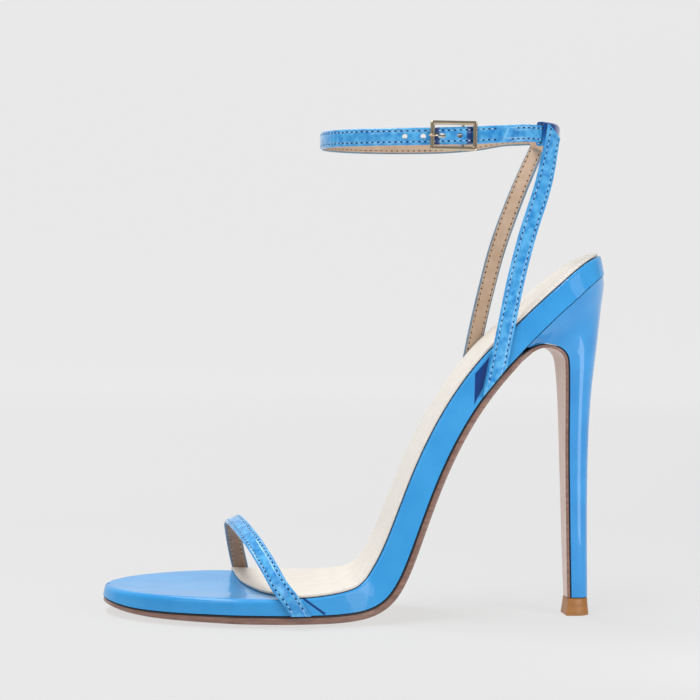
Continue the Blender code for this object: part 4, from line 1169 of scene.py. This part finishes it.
# Painted shade: round the near arm's pointed leaf the sleeve is coloured navy, fading into the plain blue.
sleeve_patent = patent_leather("patent_on_sleeve_with_painted_shade", 0.3)
leaf_painted_shade_share = away_from(sleeve_patent, leaf_peak, LEAF_PAINTED_SHADE_REACH)
tint(sleeve_patent, leaf_painted_shade_share, ((0.55, LEAF_PAINTED_SHADE), (0.85, PATENT)))
folded = tube(sleeve_rings(profile, SLEEVE_OUTER_REACH, SLEEVE_INNER_REACH), sleeve_paint)
sleeve = add_piece("sleeve", folded, [sleeve_patent, strap_lining])
slot = tube(sleeve_rings(slot_profile, SLOT_REACH, SLOT_REACH))
cut_away(sleeve, [add_piece("slot_cutter", slot, [strap_lining])])
for piece in (*arms, sleeve):
    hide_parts("back_strap")
    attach(piece, "root")
sew("arm_stitches", stitches, blue_thread, navy_hole_shade)
sew("arm_lining_stitches", lining_stitches, tan_thread, brown_hole_shade)


# Outsole. Brown leather under the whole foot, thick at the ball and thin at the toe; behind the arch it
# turns down over the front of the heel as a thin flap. The edge is stained and waxed.
FLAP_THICK = 0.0012
OUTSOLE_INSET = 0.0004
SEAT_LENGTH = 0.0310
HEEL_TURN = math.radians(3)
TOP_PIECE_HEIGHT = 0.0064
TOP_PIECE_FLARE = 0.0006
HEEL_SECTIONS = 30
FLAP_BEND = 0.0035
EDGE_BEVEL = 0.30
RIM_BAND = 0.22
FLAP_FADE, SHIFT_FADE = 18, 12
HEEL = (
    # front, front_height, back, back_height, width, flat
    (0.942, 0.785, -0.006, 0.973, 0.882, 0.42),
    (0.852, 0.794, 0.006, 0.940, 0.792, 0.40),
    (0.761, 0.797, 0.023, 0.908, 0.702, 0.38),
    (0.665, 0.794, 0.035, 0.876, 0.629, 0.36),
    (0.568, 0.786, 0.048, 0.844, 0.571, 0.34),
    (0.494, 0.771, 0.061, 0.813, 0.522, 0.32),
    (0.455, 0.751, 0.074, 0.779, 0.486, 0.30),
    (0.442, 0.722, 0.090, 0.738, 0.445, 0.30),
    (0.426, 0.663, 0.119, 0.667, 0.380, 0.30),
    (0.413, 0.571, 0.139, 0.571, 0.318, 0.30),
    (0.400, 0.460, 0.148, 0.460, 0.273, 0.30),
    (0.377, 0.317, 0.145, 0.317, 0.245, 0.30),
    (0.355, 0.175, 0.132, 0.175, 0.216, 0.30),
    (0.332, 0.000, 0.119, 0.000, 0.188, 0.30),
)
SOLE_EDGE = (0.300, 0.165, 0.125)
SOLE_EDGE_DARK = (0.170, 0.085, 0.065)
# Painted shade for the gap under the insole's wrap, along the top of the sole edge.
SOLE_RIM_PAINTED_SHADE = (0.022, 0.010, 0.012)
SOLE_FACE = (0.730, 0.610, 0.555)
SOLE_FACE_DEEP = (0.650, 0.520, 0.465)


def heel_rows(finer=1):
    """The heel's sections: front x, z, back x, z, half width, flat share and sideways turn."""
    top = OUTSOLE_THICK + CLEARANCE + HEEL_RISE
    foot = TOP_PIECE_HEIGHT + CLEARANCE
    rows = [(BACK_X - f * SEAT_LENGTH, max(fz * top, foot), BACK_X - b * SEAT_LENGTH, max(bz * top, foot),
             w * SEAT_WIDTH / 2, flat) for f, fz, b, bz, w, flat in HEEL]
    order = list(range(len(rows)))
    curves = [curve(order, [row[k] for row in rows]) for k in range(6)]
    made = [[f(t) for f in curves] for t in np.linspace(0, len(rows) - 1, (HEEL_SECTIONS - 1) * finer + 1)]
    made = eased(made, 2 * finer * finer)
    turned_by = 0.4 * HEEL_SECTIONS * finer
    return [list(row) + [math.tan(HEEL_TURN) * min(k / turned_by, 1.0)] for k, row in enumerate(made)]


BREAST_X = BACK_X - SEAT_LENGTH


def sole_path():
    """The outsole's upper face: point, normal, half width, shift, dish, thickness and turn."""
    path = []
    toe = [TOE_X + OUTSOLE_INSET + d for d in round_stations(TOE_ROUND, TOE_STATIONS)]
    for x in toe + stations(TOE_X + TOE_ROUND, BREAST_X - FLAP_BEND, 0.0018):
        normal = seat_normal(x)
        point = np.array([x, 0.0, seat_height(x)]) - normal * CLEARANCE
        half = half_width(x, OUTSOLE_INSET)
        path.append((point, normal, half, shift_at(x), dish_at(x), outsole_at(x), 0.0))
    rows = heel_rows(3)
    fronts = [np.array([row[0], 0.0, row[1]]) for row in rows]
    for k, row in enumerate(rows):
        before, after = fronts[max(k - 1, 0)], fronts[min(k + 1, len(rows) - 1)]
        run = unit(after - before)
        normal = np.array([-run[2], 0.0, run[0]])
        fade = max(1 - k / FLAP_FADE, 0.0)
        thick = FLAP_THICK + fade * 0.5 * (outsole_at(BREAST_X) - FLAP_THICK)
        shift = shift_at(BREAST_X) * max(1 - k / SHIFT_FADE, 0.0)
        half = row[4] - OUTSOLE_INSET
        path.append((fronts[k] - normal * CLEARANCE, normal, half, shift, 0.0, thick, row[6]))
    return path


def sole_edge_leather():
    """Waxed brown edge with its layers showing faintly."""
    material = new_material("stained_sole_edge", SOLE_EDGE, 0.38)
    shader = material.node_tree.nodes["Principled BSDF"]
    shader.inputs["Coat Weight"].default_value = 0.35
    shader.inputs["Coat Roughness"].default_value = 0.25
    tint(material, noise(material, 160, 6.0, (1.0, 1.0, 6.0)), ((0.3, SOLE_EDGE_DARK), (0.7, SOLE_EDGE)))
    bump(material, ((noise(material, 900, 5.0, (1.0, 1.0, 5.0)), 0.35, 0.0001),))
    return material


def sole_face_leather():
    """Pale smooth leather of the walking face."""
    material = new_material("sole_face_leather", SOLE_FACE, 0.48)
    tint(material, noise(material, 90, 7.0), ((0.3, SOLE_FACE_DEEP), (0.7, SOLE_FACE)))
    bump(material, ((cells(material, 1800), 0.2, 0.00008), (noise(material, 700, 6.0), 0.3, 0.00012)))
    return material


edge_leather, face_leather = sole_edge_leather(), sole_face_leather()
# Painted shade: a dark line along the edge's top, where the gap under the insole's wrap lies in shadow.
rim_painted_shade = new_material("painted_shade_along_rim", SOLE_RIM_PAINTED_SHADE, 0.55)
tint(rim_painted_shade, noise(rim_painted_shade, 500, 4.0), ((0.3, tuple(0.6 * c for c in SOLE_RIM_PAINTED_SHADE)), (0.7, SOLE_RIM_PAINTED_SHADE)))
bump(rim_painted_shade, ((noise(rim_painted_shade, 1200, 4.0), 0.3, 0.00008),))
UNDER = (0.8, 0.6, FLAT_SHARE, 0.15)
rings = []
for point, normal, half, shift, dish, thick, turn in sole_path():
    bevel = min(EDGE_BEVEL * thick, 0.2 * half)
    side = [(0.0, 0.0), (-FLAT_SHARE, 0.0), (-0.7, 0.0), (-1.0, 0.0), (-1.0, -RIM_BAND * thick),
            (-1.0, -thick + bevel)]
    for degrees in (30, 60, 90):
        angle = math.radians(degrees)
        side.append((-(1 - bevel * (1 - math.cos(angle)) / half), -thick + bevel - bevel * math.sin(angle)))
    inner = 1 - bevel / half
    side += [(-inner * u, -thick) for u in UNDER] + [(0.0, -thick)]
    ring = []
    for across, lift in side + [(-a, z) for a, z in side[-2:0:-1]]:
        raised = dish * max((abs(across) - FLAT_SHARE) / (1 - FLAT_SHARE), 0.0)
        y = across * half
        ring.append(point + normal * (lift + raised) + np.array([-y * turn, shift + y, 0.0]))
    rings.append(ring)
LOWER_START, LOWER_COUNT, RIM_FACE = 8, 2 * len(UNDER) + 2, 3


def sole_paint(k):
    """0 on the edge, 1 on the walking face, 2 on the line of painted shade along the edge's top."""
    if LOWER_START <= k < LOWER_START + LOWER_COUNT:
        return 1
    return 2 if k in (RIM_FACE, len(rings[0]) - 1 - RIM_FACE) else 0


sole_leather = add_piece("sole_leather", tube(rings, sole_paint), [edge_leather, face_leather, rim_painted_shade])
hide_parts("outsole")
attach(sole_leather, "root")


# Heel. A slim moulded heel covered in the same blue patent leather, cupped under the seat and
# flat in front, where the sole's flap covers it.
HEEL_BLUE = (0.038, 0.315, 0.710)
HEEL_BLUE_DEEP = (0.028, 0.265, 0.640)
heel_patent = patent_leather("patent_on_heel", 0.06, HEEL_BLUE, HEEL_BLUE_DEEP)


def heel_ring(row, spread=0.0, depth=0.0):
    """One D-shaped section: flat across the front, round at the back."""
    front_x, front_z, back_x, back_z, half, flat, turn = row
    front, back = np.array([front_x, 0.0, front_z]), np.array([back_x, 0.0, back_z])
    line = unit(back - front)
    front, back = front - line * (depth + spread), back + line * spread
    left, right = [], []
    for share in d_shares(flat):
        bend = max((share - flat) / (1 - flat), 0.0)
        across = (half + spread) * math.sqrt(max(1 - bend ** 2, 0.0))
        middle = front + (back - front) * share
        left.append(middle + np.array([across * turn, -across, 0.0]))
        right.append(middle + np.array([-across * turn, across, 0.0]))
    return left + right[-2::-1]


def d_shares(flat):
    """Shares of the way back through a section, close together at its round end."""
    return [flat * s for s in (0.0, 0.25, 0.5, 0.75, 1.0)] + [
        flat + (1 - flat) * math.sin(math.radians(a)) for a in range(6, 91, 6)]


seat_shares = d_shares(HEEL[0][-1])
span = BACK_X - OUTSOLE_INSET - BREAST_X
outer = [sole_point(BREAST_X + span * s, -1.0, -CLEARANCE, OUTSOLE_INSET) for s in seat_shares]
inner = [sole_point(BREAST_X + span * s, 1.0, -CLEARANCE, OUTSOLE_INSET) for s in seat_shares]
rings = [outer + inner[-2::-1]] + [heel_ring(row) for row in heel_rows(4)]
heel_block = add_piece("heel_block", tube(rings), [heel_patent])
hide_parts("heel")
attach(heel_block, "root")


# Top piece. A small tan lift pinned under the heel, its edge sanded and a little wider at the floor.
LIFT = (0.400, 0.165, 0.038)
LIFT_DEEP = (0.290, 0.115, 0.028)
lift_material = new_material("tan_lift", LIFT, 0.42)
tint(lift_material, noise(lift_material, 300, 5.0, (0.4, 0.4, 4.0)), ((0.3, LIFT_DEEP), (0.7, LIFT)))
bump(lift_material, ((noise(lift_material, 1500, 4.0, (0.3, 0.3, 4.0)), 0.35, 0.0001),))
LIFT_SIDE = (
    # height, flare
    (1.00, -0.5),
    (0.96, 0.0),
    (0.70, 0.15),
    (0.40, 0.5),
    (0.10, 0.9),
    (0.03, 0.95),
    (0.00, 0.6),
)
foot = heel_rows()[-1]
rings = []
for height, flare in LIFT_SIDE:
    row = [foot[0], height * TOP_PIECE_HEIGHT, foot[2], height * TOP_PIECE_HEIGHT, *foot[4:]]
    rings.append(heel_ring(row, flare * TOP_PIECE_FLARE, CLEARANCE + FLAP_THICK))
heel_lift = add_piece("heel_lift", tube(rings), [lift_material], 50)
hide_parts("top_piece")
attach(heel_lift, "root")


# Sock lining. Thin cream kid glued over the insole from behind the toes to the heel, just inside its
# blue rim, with a curved front edge.
SOCK_THICK = 0.0008
SOCK_INSET = 0.0009
SOCK_SQUARED_BY = 0.45
SOCK_COLUMNS, SOCK_FRONT_ROWS = 33, 22
SOCK_FRONT = (
    # across, along
    (-1.00, 0.381),
    (-0.62, 0.338),
    (-0.18, 0.303),
    (0.42, 0.273),
    (1.00, 0.258),
)
CREAM = (0.800, 0.755, 0.690)
CREAM_DEEP = (0.745, 0.695, 0.625)
CREAM_EDGE = (0.450, 0.400, 0.370)
sock_kid = kid_lining("cream_kid", CREAM, CREAM_DEEP)
sock_edge = new_material("cut_edge_of_kid", CREAM_EDGE, 0.7)
tint(sock_edge, noise(sock_edge, 900, 4.0), ((0.3, tuple(0.7 * c for c in CREAM_EDGE)), (0.7, CREAM_EDGE)))
bump(sock_edge, ((noise(sock_edge, 2200, 3.0), 0.4, 0.00006),))
sock_front = curve([row[0] for row in SOCK_FRONT], [place(row[1]) for row in SOCK_FRONT])
columns = list(np.linspace(-1, 1, SOCK_COLUMNS))
squared = place(SOCK_SQUARED_BY)
rows = [[sock_front(c) + (squared - sock_front(c)) * k / SOCK_FRONT_ROWS for c in columns]
        for k in range(SOCK_FRONT_ROWS + 1)]
back = [BACK_X - SOCK_INSET - d for d in round_stations(HEEL_ROUND - SOCK_INSET, HEEL_STATIONS)]
rows += [[x] * len(columns) for x in stations(squared, BACK_X - HEEL_ROUND, SOLE_STEP)[1:] + back[::-1]]


def sock_point(x, across, lift):
    """A point of the sock, lifted off the insole's top."""
    return Vector(sole_point(x, across, insole_at(x) + CLEARANCE + lift, SOCK_INSET))


bm = bmesh.new()
layers = []
for lift in (0.0, 0.3 * SOCK_THICK, SOCK_THICK):
    layers.append([[bm.verts.new(sock_point(x, c, lift)) for x, c in zip(row, columns)] for row in rows])
for layer in (layers[0], layers[-1]):
    for one, two in zip(layer, layer[1:]):
        for k in range(len(columns) - 1):
            bm.faces.new((one[k], one[k + 1], two[k + 1], two[k]))
rims = [layer[0] + [row[-1] for row in layer[1:]] + layer[-1][-2::-1] + [row[0] for row in layer[-2:0:-1]]
        for layer in layers]
for low, high in zip(rims, rims[1:]):
    for k in range(len(low)):
        following = (k + 1) % len(low)
        face = bm.faces.new((low[k], low[following], high[following], high[k]))
        face.material_index = 1 if low is rims[0] else 0
bmesh.ops.delete(bm, geom=[v for v in bm.verts if not v.link_faces], context="VERTS")
sock = add_piece("sock", bm, [sock_kid, sock_edge])
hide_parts("sock_lining")
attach(sock, "root")


# Buckle. A cast frame with rounded corners, plated pale gold and polished; its centre bar is set in
# towards the ankle on two short legs.
FRAME_CORNER = 0.0007
FRAME_INNER_CORNER = 0.0002
GOLD = (0.740, 0.620, 0.460)
GOLD_DEEP = (0.640, 0.520, 0.370)


gold = new_material("pale_gold_plate", GOLD, 0.17, 1.0)
tint(gold, noise(gold, 400, 4.0), ((0.3, GOLD_DEEP), (0.65, GOLD)))
bump(gold, ((noise(gold, 1600, 4.0), 0.12, 0.00006),))


def bar_section(width, depth, steps=20, power=3.0):
    """A soft-cornered bar's section."""
    points = []
    for k in range(steps):
        a = 2 * math.pi * k / steps
        c, s = math.cos(a), math.sin(a)
        points.append((width / 2 * math.copysign(abs(c) ** (2 / power), c),
                       depth / 2 * math.copysign(abs(s) ** (2 / power), s)))
    return points


def loop_skin(rings):
    """A ring-shaped solid through closed rings of points."""
    bm = bmesh.new()
    grid = [[bm.verts.new(Vector(point)) for point in ring] for ring in rings]
    size = len(grid[0])
    for one, two in zip(grid, grid[1:] + grid[:1]):
        for k in range(size):
            following = (k + 1) % size
            bm.faces.new((one[k], one[following], two[following], two[k]))
    return bm


middle_height = loop_point(BUCKLE_RUN)[0][2]
half_height = (FRAME_HEIGHT - FRAME_BAR) / 2


def frame_outline(corner, a, margin, radius):
    """A point of the frame's outline, set in by a margin, on a rounded corner."""
    return np.array([corner[0] * (FRAME_LENGTH / 2 - margin - radius) + radius * math.cos(a),
                     corner[1] * (FRAME_HEIGHT / 2 - margin - radius) + radius * math.sin(a)])


def frame_edges(corner, a):
    outside = frame_outline(corner, a, 0.0, FRAME_CORNER)
    return outside, frame_outline(corner, a, FRAME_BAR, FRAME_INNER_CORNER)


corners = ((1, 1), (-1, 1), (-1, -1), (1, -1))
track = []
for quarter, corner in enumerate(corners):
    for k in range(9):
        track.append(frame_edges(corner, math.radians(90 * quarter + 11.25 * k)))
    last = track[-1]
    following = frame_edges(corners[(quarter + 1) % len(corners)], math.radians(90 * quarter + 90))
    for share in np.linspace(0, 1, 12)[1:-1]:
        track.append(tuple(one * (1 - share) + two * share for one, two in zip(last, following)))
rings = []
for edge, hollow in track:
    ring = []
    for way, out in bar_section(FRAME_BAR, FRAME_DEPTH):
        q, h = hollow + (edge - hollow) * (way / FRAME_BAR + 0.5)
        spot, _ = loop_point(BUCKLE_RUN + q, FRAME_OUT + out)
        spot[2] = middle_height + h
        ring.append(spot)
    rings.append(ring)
buckle_frame = add_piece("buckle_frame", loop_skin(rings), [gold], 60)


def wire(points, radius, sides=18):
    """Rings of points for a round wire along a line."""
    points = np.array(points)
    rings, side = [], None
    for point, run in zip(points, tangents(points)):
        if side is None:
            side = up if abs(run[2]) < 0.7 else np.array([0.0, 1.0, 0.0])
        side = unit(side - np.dot(side, run) * run)
        other = np.cross(run, side)
        angles = [2 * math.pi * k / sides for k in range(sides)]
        rings.append([point + radius * (side * math.cos(a) + other * math.sin(a)) for a in angles])
    return rings


path = []
for out, high in ((FRAME_OUT, half_height), (0.3 * FRAME_OUT, half_height), (-0.7 * FOLD_RADIUS, half_height),
                  (-FOLD_RADIUS, half_height - 0.3 * FOLD_RADIUS), (-FOLD_RADIUS, 0.4 * half_height)):
    spot, _ = loop_point(BAR_RUN, out)
    spot[2] = middle_height + high
    path.append(spot)
path += [np.array([p[0], p[1], 2 * middle_height - p[2]]) for p in reversed(path)]
centre_bar = add_piece("centre_bar", tube(wire(spline(path, 0.0004), BAR_RADIUS)), [gold], 60)
for piece in (buckle_frame, centre_bar):
    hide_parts("buckle")
    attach(piece, "root")


# Prong. A wire hooked round the centre bar; it comes out through the strap's hole and rests on the
# frame's front bar.


def prong_route():
    """The prong's middle line: round the bar, out through the hole and onto the frame."""
    eye = BAR_RADIUS + CLEARANCE / 2 + PRONG_RADIUS
    route = []
    for angle in range(-160, 91, 25):
        a = math.radians(angle)
        route.append((BAR_RUN + eye * math.cos(a), -FOLD_RADIUS + eye * math.sin(a)))
    rest = FRAME_OUT + FRAME_DEPTH / 2 + PRONG_RADIUS + CLEARANCE / 3
    front = BUCKLE_RUN - (FRAME_LENGTH - FRAME_BAR) / 2
    hole = ENGAGED_HOLE_RUN
    under = LAYER - ANKLE_STRAP_THICK / 2 - CLEARANCE - PRONG_RADIUS
    route += [
        (hole + 0.0045, under - 0.0002),
        (hole + 0.0016, under),
        (hole + 0.0005, 0.5 * (under + LAYER)),
        (hole - 0.0003, LAYER + 0.0004),
        (hole - 0.0010, 0.62 * rest + 0.38 * LAYER),
        (hole - 0.0019, rest - 0.0001),
        (front, rest),
        (front - 0.0012, rest - 0.0001),
    ]
    points = []
    for run, out in route:
        spot, _ = loop_point(run, out)
        spot[2] = middle_height
        points.append(spot)
    return spline(points, 0.0003)


prong = add_piece("prong", tube(wire(prong_route(), PRONG_RADIUS, 14)), [gold], 60)
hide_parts("buckle_prong")
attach(prong, "root")


# Studio. A pale sweep for floor and backdrop that glows a little, as a lit cloth does, a soft room and
# soft lamps: overhead, in front on both sides, and a small low one that draws a line on the heel.
SWEEP = (0.16, 0.16, 0.16)
FLOOR_GLOW, WALL_GLOW = 0.612, 0.728
GLOW_FROM, GLOW_TO = 0.3, 1.7
SWEEP_HALF_WIDTH = 4.0
SWEEP_NEAR, SWEEP_FAR = -3.0, 2.0
SWEEP_BEND = 0.8
SWEEP_TOP = 3.4
ROOM_LIGHT = 0.25
sweep_material = new_material("pale_sweep", SWEEP, 0.9)
tint(sweep_material, noise(sweep_material, 3, 2.0), ((0.3, tuple(0.995 * c for c in SWEEP)), (0.7, SWEEP)))
sweep_shader = sweep_material.node_tree.nodes["Principled BSDF"]
sweep_shader.inputs["Specular IOR Level"].default_value = 0.0
sweep_shader.inputs["Emission Color"].default_value = (1.0, 1.0, 1.0, 1.0)
place_on_sweep = add_node(sweep_material, "ShaderNodeTexCoord")
split = add_node(sweep_material, "ShaderNodeSeparateXYZ")
glow = add_node(sweep_material, "ShaderNodeMapRange", From_Min=GLOW_FROM, From_Max=GLOW_TO, To_Min=FLOOR_GLOW,
                To_Max=WALL_GLOW)
sweep_material.node_tree.links.new(place_on_sweep.outputs["Object"], split.inputs[0])
sweep_material.node_tree.links.new(split.outputs["Y"], glow.inputs["Value"])
sweep_material.node_tree.links.new(glow.outputs["Result"], sweep_shader.inputs["Emission Strength"])
bm = bmesh.new()
profile = [(SWEEP_NEAR, 0.0), (SWEEP_FAR, 0.0)]
for degrees in range(10, 91, 10):
    a = math.radians(degrees)
    profile.append((SWEEP_FAR + SWEEP_BEND * math.sin(a), SWEEP_BEND - SWEEP_BEND * math.cos(a)))
profile.append((SWEEP_FAR + SWEEP_BEND, SWEEP_TOP))
strips = [[bm.verts.new((x, y, z)) for y, z in profile] for x in (-SWEEP_HALF_WIDTH, SWEEP_HALF_WIDTH)]
for k in range(len(profile) - 1):
    bm.faces.new((strips[0][k], strips[1][k], strips[1][k + 1], strips[0][k + 1]))
sweep = add_piece("sweep", bm, [sweep_material], 80)


def lamp(name, power, size, place_at, target):
    """A white oblong lamp turned to its target."""
    light = bpy.data.lights.new(name, "AREA")
    light.energy = power
    light.shape = "RECTANGLE"
    light.size, light.size_y = size
    thing = bpy.data.objects.new(name, light)
    turn = (Vector(target) - Vector(place_at)).to_track_quat("-Z", "Y")
    thing.matrix_world = Matrix.Translation(place_at) @ turn.to_matrix().to_4x4()
    bpy.context.scene.collection.objects.link(thing)


lamp("overhead", 14.0, (1.5, 0.38), (-0.3, 0.0, 1.2), (-0.27, 0.0, 0.05))
lamp("front_left", 10.5, (1.5, 1.3), (-1.0, -1.5, 1.1), (0.0, 0.0, 0.08))
lamp("front_right", 6.0, (0.7, 0.9), (1.3, -1.1, 0.8), (0.05, 0.0, 0.08))
lamp("heel_strip", 0.11, (0.085, 0.12), (0.205, -0.135, 0.06), (0.108, -0.01, 0.06))
world = bpy.data.worlds.new("room")
world.use_nodes = True
world.node_tree.nodes["Background"].inputs["Color"].default_value = (1.0, 1.0, 1.0, 1.0)
world.node_tree.nodes["Background"].inputs["Strength"].default_value = ROOM_LIGHT
bpy.context.scene.world = world
bpy.context.scene.view_settings.view_transform = "Standard"
